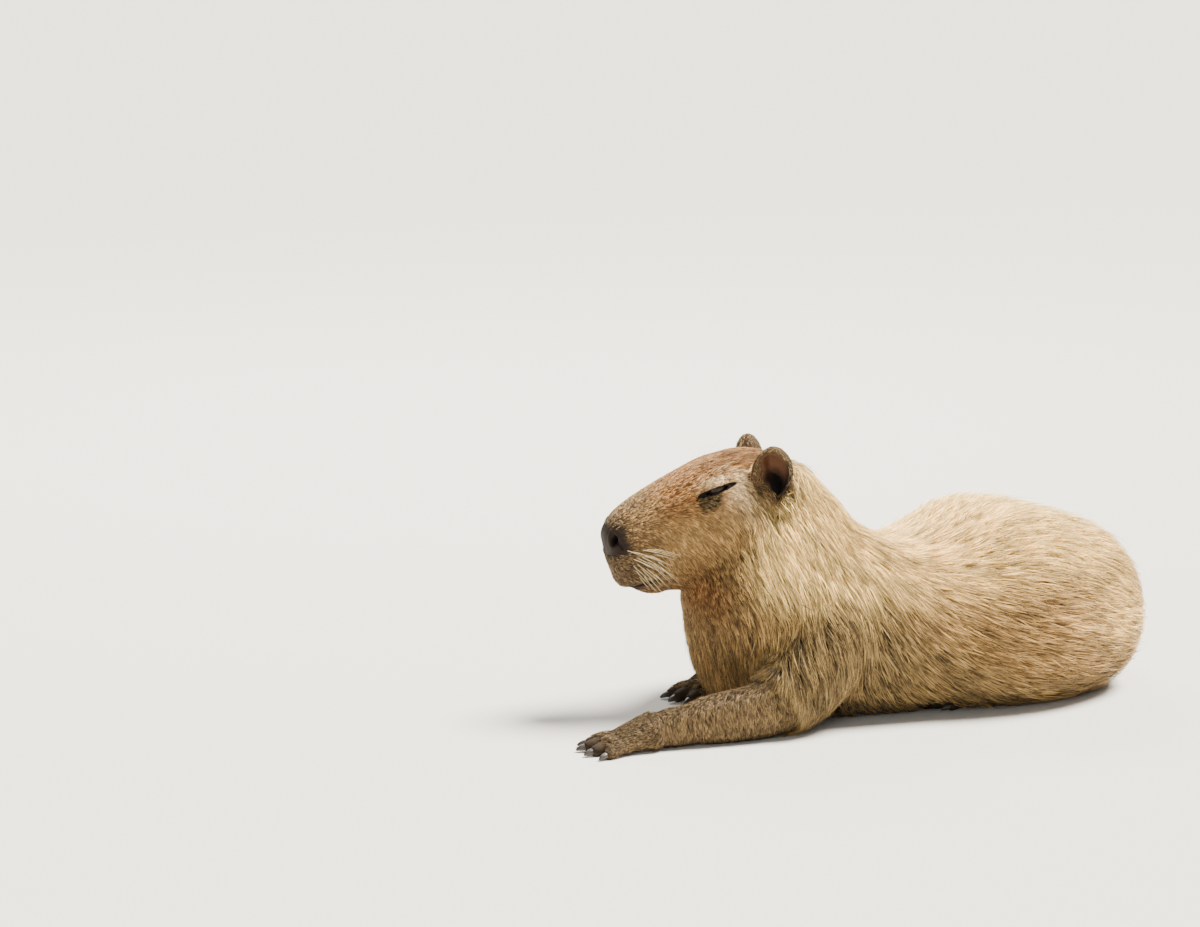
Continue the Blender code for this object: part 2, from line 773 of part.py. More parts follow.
# ---------------------------------------------------------------- ears
def ear_frame(side):
    """The ear's own axes: up its length, across its width, and out of its cup."""
    lean = 0.42 if side > 0 else 0.60
    length = (HEAD_TURNED @ Vector((-0.30, side * lean, 0.86))).normalized()
    cup = HEAD_TURNED @ Vector((0.50, side * 0.84, -0.10))
    cup = (cup - length * cup.dot(length)).normalized()
    width = length.cross(cup)
    return length, width, cup


def ear(name, side, head):
    """A rounded, upright cup that is open outward and forward, sunk to the head's surface."""
    length, width, cup = ear_frame(side)
    middle = HEAD @ Vector((EAR_ALONG, side * EAR_ASIDE, EAR_ABOVE))
    turn = Matrix((width, length, cup)).transposed()
    shell = ball(name, middle, (EAR_WIDTH / 2, EAR_LENGTH / 2, EAR_DEPTH), turn, 16, 10)
    hollow = ball(
        "hollow",
        middle + cup * 0.0085 + length * 0.001,
        (EAR_WIDTH / 2 - EAR_WALL, EAR_LENGTH / 2 - EAR_WALL, 0.0205),
        turn,
        16,
        10,
    )
    boolean(shell, "DIFFERENCE", [hollow])
    boolean(shell, "DIFFERENCE", [inflated(head, GAP)])
    return keep_largest(shell)


# ---------------------------------------------------------------- parting the body
def offset_outline(outline, distance):
    """A convex outline, listed leftward, with every side moved outward by the distance."""
    lines = []
    count = len(outline)
    for i in range(count):
        a, b = Vector(outline[i]), Vector(outline[(i + 1) % count])
        along = (b - a).normalized()
        outward = Vector((along.y, -along.x))
        lines.append((a + outward * distance, along))
    moved = []
    for i in range(count):
        (p, d), (q, e) = lines[i - 1], lines[i]
        cross = d.x * e.y - d.y * e.x
        if abs(cross) < 1e-6:
            moved.append(q)
            continue
        gap = q - p
        moved.append(p + d * ((gap.x * e.y - gap.y * e.x) / cross))
    return moved


def prism(outline, distance, asides, place):
    """A convex side-view outline carried across between two side positions, and grown by a distance."""
    moved = offset_outline(outline, distance)
    count = len(moved)
    inner, outer = min(asides) - distance, max(asides) + distance
    points = [place @ Vector((p.x, aside, p.y)) for aside in (inner, outer) for p in moved]
    faces = [tuple(range(count)), tuple(range(2 * count - 1, count - 1, -1))]
    faces += [(i, (i + 1) % count, count + (i + 1) % count, count + i) for i in range(count)]
    made = new_object("prism", points, faces)
    face_outward(made)
    return made


def split(obj, name, point, normal):
    """Cuts off the part of obj on the normal's side as a new node, with a thin gap between the two."""
    point, normal = Vector(point), Vector(normal).normalized()
    taken = copy_of(obj, name)
    boolean(taken, "DIFFERENCE", [half_space(point + normal * GAP / 2, -normal)])
    boolean(obj, "DIFFERENCE", [half_space(point - normal * GAP / 2, normal)])
    keep_largest(obj)
    return keep_largest(taken)


def take(body, name, outline, asides, place):
    """Takes the part of the body inside a prism as a new node, with a thin gap between the two."""
    taken = copy_of(body, name)
    intersect(taken, prism(outline, -GAP / 2, asides, place))
    boolean(body, "DIFFERENCE", [prism(outline, GAP / 2, asides, place)])
    keep_largest(body)
    return keep_largest(taken)


# Side outlines of the limbs in (x, z), and the run of the plane that parts each from the trunk:
# (point x, point y, turn in degrees about Z), with the limb on the outer side of it.
LEFT_ARM = (
    (-0.560, -0.02), (-0.095, -0.02), (-0.100, 0.10),
    (-0.125, 0.175), (-0.190, 0.195), (-0.560, 0.10),
)
RIGHT_ARM = (
    (-0.300, -0.02), (-0.058, -0.02), (-0.062, 0.10),
    (-0.080, 0.170), (-0.135, 0.190), (-0.300, 0.10),
)
THIGH = (
    (-0.020, -0.02), (0.185, -0.02), (0.215, 0.06), (0.200, 0.14),
    (0.150, 0.172), (0.070, 0.172), (0.000, 0.12), (-0.030, 0.05),
)
LIMBS = (
    ("foreleg_left", LEFT_ARM, -1, (-0.10, -0.104, -2.0)),
    ("foreleg_right", RIGHT_ARM, 1, (-0.10, 0.104, 14.0)),
    ("hindleg_left", THIGH, -1, (0.10, -0.110, 0.0)),
    ("hindleg_right", THIGH, 1, (0.10, 0.110, 0.0)),
)


def take_limb(body, name, outline, side, plane):
    x, y, degrees = plane
    turn = Matrix.Rotation(math.radians(degrees), 4, "Z")
    place = Matrix.Translation((x, y, 0)) @ turn @ Matrix.Translation((-x, 0, 0))
    return take(body, name, outline, (0.0, side * 0.16), place)


def build():
    start_empty()
    tan = material("coarse_tan_fur", FUR_TAN, 0.9)
    russet = material("russet_face_fur", FUR_RUSSET, 0.85)
    dark = material("dark_bare_skin", SKIN_DARK, 0.6)
    wet = material("eyeball", EYE_DARK, 0.08)
    horn = material("claw_horn", CLAW_HORN, 0.45)

    body = fused_body()
    nodes = {}
    feet_tips = {}
    for name, ankle, degrees, palm, half_width, toes in FEET:
        heading = foot_heading(degrees)
        made, tips = foot(name, Vector(ankle), heading, palm, half_width, toes)
        nails = [claw("nail", *at) for at in tips]
        boolean(body, "DIFFERENCE", [room_for([made, *nails], GAP)])
        drop(*nails)
        nodes[name] = (made, dark)
        feet_tips[name] = tips
    keep_largest(body)

    head = take(body, "head", HEAD_CUT, (-0.16, 0.16), HEAD)
    for side in (-1, 1):
        give_lids(head, side)
    carve_muzzle(head)
    keep_largest(head)
    nodes["head"] = (head, russet)

    for name, *cut in LIMBS:
        nodes[name] = (take_limb(body, name, *cut), tan)
    nodes["neck"] = (split(body, "neck", (-0.135, 0, 0.262), (-0.52, 0, 0.85)), tan)
    nodes["rump"] = (split(body, "rump", (-0.055, 0, 0.1), (1, 0, 0.12)), tan)
    body.name = "torso"
    nodes["torso"] = (body, tan)

    for side, word in ((1, "left"), (-1, "right")):
        nodes[f"eye_{word}"] = (eye(f"eye_{word}", side), wet)
        nodes[f"ear_{word}"] = (ear(f"ear_{word}", side, head), dark)
    for name, tips in feet_tips.items():
        boolean(nodes[name][0], "DIFFERENCE", [claw("socket", *at, grow=GAP) for at in tips])
        keep_largest(nodes[name][0])
        for k, at in enumerate(tips, 1):
            label = f"claw_{name}_{k}"
            nodes[label] = (claw(label, *at), horn)
    for name, (obj, finish) in nodes.items():
        obj.name = name
        obj.data.name = name
        obj.data.materials.clear()
        obj.data.materials.append(finish)


build()
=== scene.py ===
"""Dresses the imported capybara: one hide over all flesh, a coat of hair tufts, eyes, nails and whiskers.

Units are metres in the frame of the solids: +Z is up, the floor is z = 0, the nose points along -X and the
animal's left side is -Y. The hide is lofted from the same stations as the solids and lies under them by the
depth of the coat. Hair lies along one flow over the whole body.
"""

import math

import bmesh
import bpy
import numpy as np
from bpy.props import FloatProperty, FloatVectorProperty, IntProperty, PointerProperty
from bpy.types import Operator, Panel, PropertyGroup
from mathutils import Matrix, Vector
from mathutils.bvhtree import BVHTree
from mathutils.kdtree import KDTree


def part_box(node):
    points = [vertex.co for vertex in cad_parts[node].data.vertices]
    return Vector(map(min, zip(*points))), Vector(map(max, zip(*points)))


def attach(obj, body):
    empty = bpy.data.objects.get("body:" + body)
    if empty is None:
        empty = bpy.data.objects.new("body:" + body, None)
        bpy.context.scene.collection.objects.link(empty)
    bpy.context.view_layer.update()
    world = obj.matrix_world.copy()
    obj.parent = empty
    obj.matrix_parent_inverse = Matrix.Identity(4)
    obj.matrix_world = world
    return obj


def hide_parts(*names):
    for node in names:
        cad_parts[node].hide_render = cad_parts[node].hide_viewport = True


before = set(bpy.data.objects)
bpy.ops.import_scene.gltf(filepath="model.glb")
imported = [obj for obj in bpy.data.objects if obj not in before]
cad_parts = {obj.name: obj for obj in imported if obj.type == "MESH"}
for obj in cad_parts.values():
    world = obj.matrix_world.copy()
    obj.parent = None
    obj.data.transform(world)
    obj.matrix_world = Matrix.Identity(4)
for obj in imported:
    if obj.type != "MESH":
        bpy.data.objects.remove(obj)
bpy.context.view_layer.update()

bl_info = {
    "name": "Lying capybara",
    "version": (1, 0, 0),
    "blender": (4, 5, 0),
    "location": "View3D > Sidebar > Capybara",
    "description": "Hide, coat, eyes, nails and whiskers of a life-size lying capybara",
    "category": "Add Mesh",
}

SIDES = {"left": 1, "right": -1}  # across the head's own frame, where +Y is the animal's left
PAIRED = ("ear", "foreleg", "hindleg", "forefoot", "hindfoot")
FLESH = ["head", "neck", "torso", "rump", *(f"{part}_{side}" for part in PAIRED for side in SIDES)]

# ---- measures of the animal
HEAD_TURN = math.radians(12)  # to the animal's right
HEAD_NOD = math.radians(17.4)  # nose below level
HEAD_CENTRE = Vector((-0.2197, 0.0, 0.305))  # between the ears
NAPE = np.array((-0.215, 0.0, 0.345))  # the body's hair runs away from here
NOSE = np.array((0.262, 0.0, 0.006))  # the head's hair runs away from here, in the head's frame

EYE_RADIUS = 0.0131
EYE_PLACE = (0.087, 0.0430, 0.036)  # forward, aside, up in the head's frame
LID_THICKNESS = 0.0018
SLIT = (0.0180, 0.0036, 0.0125)  # half length, half height and depth of the opening between the lids
SLIT_DROP = 0.0035  # of the slit below the middle of the eyeball
SOCKET_GAP = 0.0004  # between the eyeball and its socket

EAR_PLACE = (0.015, 0.060, 0.030)
EAR_HALVES = {1: (0.0280, 0.0405), -1: (0.0185, 0.0370)}  # half width and half length
EAR_LIFTS = {1: 0.0055, -1: -0.0030}  # of the middle, up the ear
EAR_DEPTH = 0.017
EAR_LEAN = {1: 0.42, -1: 0.60}

NOSTRIL_PLACE = (0.2375, 0.0330, 0.0120)
MOUTH_LEVEL = -0.0605
FLOOR_GAP = 0.0004  # nails and tufts stay this far above the floor

FOREFOOT_TOES = ((-19, 0.036, 0.0085), (-6, 0.044, 0.0092), (7, 0.043, 0.0092), (21, 0.034, 0.0085))
HINDFOOT_TOES = ((-15, 0.046, 0.0098), (0, 0.055, 0.0105), (15, 0.046, 0.0098))
# (name, ankle point, heading in degrees from -X towards the right side, palm length, half width, toes)
FEET = (
    ("forefoot_left", (-0.462, -0.130, 0.0225), 4.0, 0.052, 0.030, FOREFOOT_TOES),
    ("forefoot_right", (-0.254, 0.096, 0.0225), -24.0, 0.048, 0.028, FOREFOOT_TOES),
    ("hindfoot_left", (0.100, -0.080, 0.0240), -2.0, 0.085, 0.027, HINDFOOT_TOES),
    ("hindfoot_right", (0.080, 0.112, 0.0240), 10.0, 0.085, 0.027, HINDFOOT_TOES),
)


# ---- small tools
def linear(hex_colour):
    """An sRGB hex value as linear red, green and blue."""
    values = [int(hex_colour[i : i + 2], 16) / 255 for i in (1, 3, 5)]
    return tuple(v / 12.92 if v <= 0.04045 else ((v + 0.055) / 1.055) ** 2.4 for v in values)


def step(low, high, value):
    """A soft edge: 0 below low, 1 above high. Both are metres, or shares of a form; it works on arrays."""
    t = np.clip((value - low) / (high - low), 0.0, 1.0)
    return t * t * (3 - 2 * t)


def bump(value, width):
    """A smooth hill of height 1 and half width about `width`, where `value` is how far off its top lies."""
    return np.exp(-((value / width) ** 2))


def unit(vectors):
    """The vectors at length 1; one that has none stays as it is."""
    return vectors / np.maximum(np.linalg.norm(vectors, axis=-1, keepdims=True), 1e-9)


def blend(start, end, share):
    """start where share is 0 and end where it is 1, row by row."""
    share = np.asarray(share)[..., None]
    return start + (np.asarray(end) - start) * share


def head_frame():
    """Places points given as (forward, to the animal's left, up) from between the ears."""
    level = Vector((-math.cos(HEAD_TURN), math.sin(HEAD_TURN), 0.0))
    forward = level * math.cos(HEAD_NOD) + Vector((0, 0, -math.sin(HEAD_NOD)))
    upward = level * math.sin(HEAD_NOD) + Vector((0, 0, math.cos(HEAD_NOD)))
    turn = Matrix((forward, upward.cross(forward), upward)).transposed()
    return Matrix.Translation(HEAD_CENTRE) @ turn.to_4x4()


HEAD = head_frame()
HEAD_TURNED = HEAD.to_3x3()
INTO_HEAD = np.array(HEAD.inverted())
OUT_OF_HEAD = np.array(HEAD_TURNED)


def in_head(points):
    """Forward, left and up of each point in the head's frame."""
    return points @ INTO_HEAD[:3, :3].T + INTO_HEAD[:3, 3]


def linked(name, data):
    """A new object in the scene."""
    made = bpy.data.objects.new(name, data)
    bpy.context.scene.collection.objects.link(made)
    return made


def mesh_from(work, name):
    """The mesh that a bmesh holds; the bmesh is freed."""
    mesh = bpy.data.meshes.new(name)
    work.to_mesh(mesh)
    work.free()
    return mesh


def new_object(name, points, faces):
    """A mesh object of points and faces."""
    mesh = bpy.data.meshes.new(name)
    mesh.from_pydata([tuple(p) for p in points], [], faces)
    mesh.update()
    return linked(name, mesh)


def drop(*objects):
    """Removes objects from the scene."""
    for old in objects:
        bpy.data.objects.remove(old)


def apply_modifiers(obj):
    """Gives an object the mesh that its modifiers make of it."""
    graph = bpy.context.evaluated_depsgraph_get()
    made = bpy.data.meshes.new_from_object(obj.evaluated_get(graph))
    obj.modifiers.clear()
    obj.data = made
    return obj


def face_outward(obj):
    """Turns the faces of a closed mesh outward."""
    work = bmesh.new()
    work.from_mesh(obj.data)
    bmesh.ops.recalc_face_normals(work, faces=work.faces)
    if work.calc_volume(signed=True) < 0:
        bmesh.ops.reverse_faces(work, faces=work.faces)
    work.to_mesh(obj.data)
    work.free()


def boolean(obj, operation, others):
    """Joins obj with closed mesh objects, or cuts them from it."""
    holder = bpy.data.collections.new("operands")
    bpy.context.scene.collection.children.link(holder)
    for other in others:
        bpy.context.scene.collection.objects.unlink(other)
        holder.objects.link(other)
    modifier = obj.modifiers.new("cut", "BOOLEAN")
    modifier.operand_type = "COLLECTION"
    modifier.collection = holder
    modifier.operation = operation
    modifier.solver = "MANIFOLD"
    apply_modifiers(obj)
    drop(*others)
    bpy.data.collections.remove(holder)
    return obj


def gathered(name, objects):
    """One object that holds the meshes of several."""
    work = bmesh.new()
    for obj in objects:
        work.from_mesh(obj.data)
    mesh = mesh_from(work, name)
    drop(*objects)
    return linked(name, mesh)


def fused(obj, cell, factor=0.0, rounds=0):
    """The object's bodies as one closed surface of even cells, smoothed."""
    fuse = obj.modifiers.new("fuse", "REMESH")
    fuse.mode = "VOXEL"
    fuse.voxel_size = cell
    apply_modifiers(obj)
    if rounds:
        smooth = obj.modifiers.new("smooth", "SMOOTH")
        smooth.factor = factor
        smooth.iterations = rounds
        apply_modifiers(obj)
    return obj


def vertex_rows(mesh, key):
    """One row of three numbers for each vertex: its place ("co") or its normal ("normal")."""
    found = np.empty(len(mesh.vertices) * 3)
    mesh.vertices.foreach_get(key, found)
    return found.reshape(-1, 3)


def positions(mesh):
    """The place of each vertex."""
    return vertex_rows(mesh, "co")


def vertex_normals(mesh):
    """The normal of each vertex."""
    return vertex_rows(mesh, "normal")


def move_to(mesh, points):
    """Puts each vertex at its new place."""
    mesh.vertices.foreach_set("co", np.ascontiguousarray(points, dtype=np.float32).ravel())
    mesh.update()


def smooth_shaded(obj):
    """The same object, shaded smooth."""
    obj.data.shade_smooth()
    return obj


def attribute(mesh, name, kind, values):
    """Writes one value for each vertex."""
    key = {"FLOAT": "value", "FLOAT_VECTOR": "vector", "FLOAT_COLOR": "color"}[kind]
    layer = mesh.attributes.new(name, kind, "POINT")
    layer.data.foreach_set(key, np.ascontiguousarray(values, dtype=np.float32).ravel())


def finish_piece(obj, slot, finish, *nodes):
    """Gives a piece its material and its place in the model."""
    obj.data.materials.clear()
    obj.data.materials.append(finish)
    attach(obj, "root")
    if nodes:
        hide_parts(*nodes)
    return obj


# ---- lofted forms
def curve_through(rows, steps):
    """Rows of sizes on a smooth curve through the given rows, with `steps` spans between each two."""
    table = np.array(rows, float)
    table = np.vstack([2 * table[0] - table[1], table, 2 * table[-1] - table[-2]])
    found = []
    for a, b, c, d in zip(table, table[1:], table[2:], table[3:]):
        for k in range(steps):
            t = k / steps
            curl = (2 * a - 5 * b + 4 * c - d) * t**2 + (3 * b - a - 3 * c + d) * t**3
            found.append(0.5 * (2 * b + (c - a) * t + curl))
    found.append(table[-2])
    return np.array(found)


def domed(rows, start, end, rings=3):
    """Rows with a rounded end added at each side that has a dome length."""

    def dome(edge, inner, length):
        """Rings that shrink outward from an edge row."""
        outward = unit(edge[:3] - inner[:3])
        made = []
        for k in range(1, rings + 1):
            angle = 0.5 * math.pi * k / (rings + 0.6)
            row = edge.copy()
            row[:3] = edge[:3] + outward * length * math.sin(angle)
            row[3:6] = edge[3:6] * math.cos(angle)
            made.append(row)
        return made

    before = dome(rows[0], rows[1], start)[::-1] if start else []
    after = dome(rows[-1], rows[-2], end) if end else []
    return np.array([*before, *rows, *after])


def loft(name, stations, lift=(0, 0, 1), sides=20, steps=4, start=0.0, end=0.0, normal=None, place=None):
    """A closed body through stations (x, y, z, side, up, down, power).

    `side`, `up` and `down` are half sizes of a ring across the run, and `power` squares its corners.
    """
    rows = domed(curve_through(stations, steps), start, end)
    runs = unit(np.gradient(rows[:, :3], axis=0))
    points = []
    for row, run in zip(rows, runs):
        side, up, down, power = row[3:]
        along = unit(np.array(normal, float)) if normal is not None else run
        aside = unit(np.cross(along, np.array(lift, float)))
        upward = np.cross(aside, along)
        angle = 2 * math.pi * np.arange(sides) / sides
        c, s = np.cos(angle), np.sin(angle)
        across = side * np.sign(c) * np.abs(c) ** (2 / power)
        height = np.where(s > 0, up, down) * np.sign(s) * np.abs(s) ** (2 / power)
        points.append(row[:3] + np.outer(across, aside) + np.outer(height, upward))
    made = tube(name, points)
    if place is not None:
        made.data.transform(place)
    face_outward(made)
    return made


def tube(name, rings):
    """A closed body through rings of equally many points."""
    sides = len(rings[0])
    points = [p for ring in rings for p in ring]
    points += [np.mean(rings[0], axis=0), np.mean(rings[-1], axis=0)]
    first, last = len(points) - 2, len(points) - 1
    faces = []
    for i in range(len(rings) - 1):
        for k in range(sides):
            a, b = i * sides + k, i * sides + (k + 1) % sides
            faces.append((a, a + sides, b + sides, b))
    top = (len(rings) - 1) * sides
    for k in range(sides):
        following = (k + 1) % sides
        faces += [(first, k, following), (last, top + following, top + k)]
    made = new_object(name, points, faces)
    face_outward(made)
    return made


def half_space(point, normal, reach=1.2):
    """A large box on the side of a plane that its normal points to."""
    normal = Vector(normal).normalized()
    work = bmesh.new()
    bmesh.ops.create_cube(work, size=1.0)
    mesh = mesh_from(work, "half")
    turn = normal.to_track_quat("Z", "Y").to_matrix().to_4x4()
    size = Matrix.Diagonal((2 * reach, 2 * reach, reach, 1.0))
    mesh.transform(Matrix.Translation(Vector(point) + normal * reach / 2) @ turn @ size)
    return linked("half", mesh)


def ball(name, centre, radii, turn, segments, rings):
    """An ellipsoid with its own axes turned."""
    work = bmesh.new()
    bmesh.ops.create_uvsphere(work, u_segments=segments, v_segments=rings, radius=1.0)
    mesh = mesh_from(work, name)
    mesh.transform(Matrix.Translation(centre) @ turn.to_4x4() @ Matrix.Diagonal((*radii, 1.0)))
    made = linked(name, mesh)
    face_outward(made)
    return made


# ---- the forms of flesh
def ring_rows(stations):
    """Rows for a loft from (along, top, bottom, half width, widest level, corner power)."""
    rows = []
    for x, top, low, half, level, power in stations:
        rows.append((x, 0, level, half, top - level, level - low, power))
    return rows


def trunk():
    """Breast, belly and rump; the stations run back along the floor."""
    stations = (
        (-0.290, 0.205, 0.010, 0.105, 0.110, 2.2),
        (-0.250, 0.235, -0.006, 0.132, 0.108, 2.3),
        (-0.200, 0.257, -0.012, 0.148, 0.105, 2.3),
        (-0.150, 0.258, -0.014, 0.156, 0.102, 2.3),
        (-0.100, 0.234, -0.016, 0.160, 0.100, 2.3),
        (-0.050, 0.210, -0.016, 0.166, 0.098, 2.35),
        (0.000, 0.216, -0.018, 0.174, 0.098, 2.45),
        (0.050, 0.233, -0.018, 0.184, 0.100, 2.6),
        (0.100, 0.241, -0.018, 0.188, 0.102, 2.6),
        (0.150, 0.236, -0.018, 0.182, 0.102, 2.55),
        (0.200, 0.219, -0.014, 0.164, 0.102, 2.4),
        (0.240, 0.203, -0.002, 0.139, 0.102, 2.3),
        (0.270, 0.181, 0.020, 0.106, 0.102, 2.2),
    )
    return loft("trunk", ring_rows(stations), sides=32, start=0.035, end=0.020, normal=(1, 0, 0))


def neck():
    """From the breast up to the back of the head; `up` of a ring points forward."""
    rows = (
        (-0.185, 0.000, 0.070, 0.140, 0.130, 0.100, 2.2),
        (-0.190, 0.000, 0.120, 0.146, 0.150, 0.095, 2.2),
        (-0.192, 0.000, 0.165, 0.136, 0.158, 0.090, 2.2),
        (-0.197, 0.002, 0.215, 0.114, 0.138, 0.078, 2.1),
        (-0.204, 0.005, 0.260, 0.090, 0.100, 0.066, 2.1),
        (-0.212, 0.008, 0.292, 0.070, 0.060, 0.040, 2.0),
    )
    return loft("neck", rows, (-1, 0, 0), sides=28, start=0.03, end=0.02)


def skull():
    """The head without its ears; the stations run forward from behind the ears."""
    stations = (
        (-0.030, 0.020, -0.070, 0.060, -0.028, 2.2),
        (-0.005, 0.048, -0.086, 0.066, -0.024, 2.3),
        (0.025, 0.063, -0.097, 0.069, -0.022, 2.4),
        (0.060, 0.069, -0.102, 0.068, -0.022, 2.5),
        (0.100, 0.069, -0.102, 0.062, -0.022, 2.6),
        (0.135, 0.065, -0.098, 0.055, -0.020, 2.7),
        (0.170, 0.058, -0.091, 0.050, -0.018, 2.8),
        (0.200, 0.049, -0.082, 0.048, -0.016, 2.9),
        (0.225, 0.038, -0.072, 0.045, -0.014, 2.9),
        (0.240, 0.026, -0.063, 0.040, -0.014, 2.7),
    )
    return loft("skull", ring_rows(stations), sides=36, start=0.02, end=0.012, normal=(1, 0, 0), place=HEAD)


# Middle line of each foreleg and its rings: (x, y, z, side, up, down, power).
ARMS = {
    "left": (
        (-0.150, -0.095, 0.155, 0.050, 0.060, 0.060, 2.0),
        (-0.195, -0.120, 0.110, 0.048, 0.056, 0.056, 2.0),
        (-0.250, -0.133, 0.060, 0.041, 0.048, 0.050, 2.1),
        (-0.310, -0.137, 0.037, 0.037, 0.038, 0.040, 2.2),
        (-0.380, -0.136, 0.031, 0.031, 0.034, 0.034, 2.2),
        (-0.435, -0.132, 0.026, 0.0275, 0.027, 0.029, 2.2),
        (-0.462, -0.130, 0.0235, 0.0262, 0.0225, 0.026, 2.2),
    ),
    "right": (
        (-0.105, 0.095, 0.155, 0.050, 0.060, 0.060, 2.0),
        (-0.105, 0.125, 0.105, 0.050, 0.056, 0.056, 2.0),
        (-0.112, 0.138, 0.058, 0.044, 0.048, 0.050, 2.1),
        (-0.155, 0.132, 0.037, 0.037, 0.036, 0.040, 2.2),
        (-0.203, 0.117, 0.030, 0.031, 0.030, 0.033, 2.2),
        (-0.232, 0.105, 0.026, 0.027, 0.025, 0.028, 2.2),
        (-0.254, 0.096, 0.0235, 0.0255, 0.0225, 0.026, 2.2),
    ),
}


def arm(side):
    """One foreleg down to its wrist."""
    return loft("arm", ARMS[side], sides=16, start=0.03, end=0.006)


def thigh(side):
    """The folded hind leg: hip, knee beside the belly, and shank back along the floor."""
    s = -SIDES[side]
    rows = (
        (0.165, s * 0.090, 0.165, 0.060, 0.060, 0.060, 2.0),
        (0.110, s * 0.118, 0.145, 0.068, 0.075, 0.075, 2.0),
        (0.050, s * 0.132, 0.110, 0.056, 0.068, 0.068, 2.0),
        (0.010, s * 0.138, 0.080, 0.042, 0.052, 0.052, 2.0),
    )
    return loft("thigh", rows, sides=16, start=0.03, end=0.03)


# ---- feet and nails
def foot_heading(degrees):
    """Where a foot points on the floor, turned from -X towards the animal's right."""
    turn = math.radians(degrees)
    return Vector((-math.cos(turn), math.sin(turn), 0.0))


# Along the palm: share of its length, share of its half width, height of its back and level of its middle.
PALM_STOPS = (
    (0.0, 0.94, 0.0245, None),  # at the wrist, whose own level holds
    (0.4, 0.92, 0.0185, 0.0195),
    (0.75, 1.0, 0.0140, 0.0145),
    (1.0, 0.98, 0.0105, 0.0095),
    (1.22, 0.90, 0.0050, 0.0038),
)
TOE_SPAN = 0.72  # of the palm's half width, between its middle and the outer toes
TOE_ROOT = 0.010  # how far a toe starts inside the palm
PAD_SUNK = 0.0009  # how far the pads reach below the floor before they are cut flat
# Along a toe: share of its length, rise of its middle and girth as a share of its radius.
TOE_STOPS = ((0.0, 0.003, 1.0), (0.35, 0.005, 0.97), (0.7, 0.0015, 0.95), (1.0, 0.0, 0.80))
# Along a nail: distance from the toe's tip, fall of its middle and girth as a share of the toe's radius.
NAIL_STOPS = ((-0.005, 0.0, 0.58), (0.003, 0.0004, 0.64), (0.009, 0.0016, 0.52), (0.0135, 0.003, 0.26))


def toe_rows(root, heading, length, radius):
    """A toe that arches a little between its root and its tip, with a swell at its pad."""
    rows = []
    for share, rise, girth in TOE_STOPS:
        at = root + heading * length * share
        half = radius * girth
        rows.append((at.x, at.y, half - PAD_SUNK + rise, half, half, half, 2.2))
    return rows


def foot_parts(wrist, heading, palm, half_width, toes):
    """Palm rows, and for each toe its rows, its tip, its heading and the radius of the tip."""
    aside = Vector((-heading.y, heading.x, 0))
    front = wrist + heading * palm
    palm_rows = []
    for share, wide, tall, middle in PALM_STOPS:
        level = wrist.z if middle is None else middle
        at = wrist + heading * palm * share
        palm_rows.append((at.x, at.y, level, half_width * wide, tall, min(tall, level + 0.002), 2.4))
    digits = []
    for k, (spread, length, radius) in enumerate(toes):
        place = (k / (len(toes) - 1) - 0.5) * 2
        turned = Matrix.Rotation(math.radians(spread), 3, "Z") @ heading
        root = front + aside * place * half_width * TOE_SPAN - heading * TOE_ROOT
        rows = toe_rows(root, turned, length, radius)
        digits.append((rows, Vector(rows[-1][:3]), turned, rows[-1][3]))
    return palm_rows, digits


def foot_form(ankle, degrees, palm, half_width, toes):
    """A webbed foot with its toes, as one soft closed surface."""
    heading = foot_heading(degrees)
    palm_rows, digits = foot_parts(Vector(ankle), heading, palm, half_width, toes)
    pieces = [loft("palm", palm_rows, sides=28, steps=5, start=0.016, end=0.003, normal=heading)]
    pieces += [loft("toe", rows, sides=18, steps=5, end=0.004) for rows, *_ in digits]
    return fused(gathered("foot", pieces), 0.0020, 0.5, 4)


def nail(tip, heading, radius):
    """A blunt, hoof-like nail that widens from its root, with a ridge along its back."""
    rows = []
    for along, fall, girth in NAIL_STOPS:
        at = tip + heading * along
        half = radius * girth
        rows.append((at.x, at.y, at.z - fall, half, half * 1.04, half * 0.8, 2.0))
    made = loft("nail", rows, sides=20, steps=5, end=0.0012)
    points = positions(made.data)
    points[:, 2] = np.maximum(points[:, 2], FLOOR_GAP)
    move_to(made.data, points)
    return made


# ---- ears
def ear_frame(side):
    """The ear's own axes: up its length, across its width, and out of its cup."""
    length = (HEAD_TURNED @ Vector((-0.30, side * EAR_LEAN[side], 0.86))).normalized()
    cup = HEAD_TURNED @ Vector((0.50, side * 0.84, -0.10))
    cup = (cup - length * cup.dot(length)).normalized()
    return length, length.cross(cup), cup


# From the middle of the ear's back round its rim to the middle of its cup: (share of the half size, height).
EAR_PROFILE = (
    (0.02, -0.0170), (0.35, -0.0158), (0.62, -0.0130), (0.84, -0.0082), (0.96, -0.0030), (1.00, 0.0020),
    (0.99, 0.0060), (0.945, 0.0092), (0.885, 0.0104), (0.835, 0.0090), (0.815, 0.0050), (0.815, 0.0000),
    (0.770, -0.0055), (0.62, -0.0100), (0.38, -0.0128), (0.02, -0.0135),
)
EAR_SIDES = 72  # points round a ring
EAR_SPANS = 3  # rings for each row of the profile
EAR_RIM_RING = 24.0  # the ring on top of the rim
EAR_WALL_RING = 34.0  # the ring at the foot of the inner wall
CUP_EDGE = 0.86  # where the bare inside begins, as a share of the ear's half sizes
FLAP_WIDTH = 0.46  # how much further in it begins at the furred front flap
FOLD_HEIGHT = 0.0042  # of the folds inside the cup
ROLL_HEIGHT = 0.0032  # of the front edge where it folds over
FLAP_SWELL = 0.0070


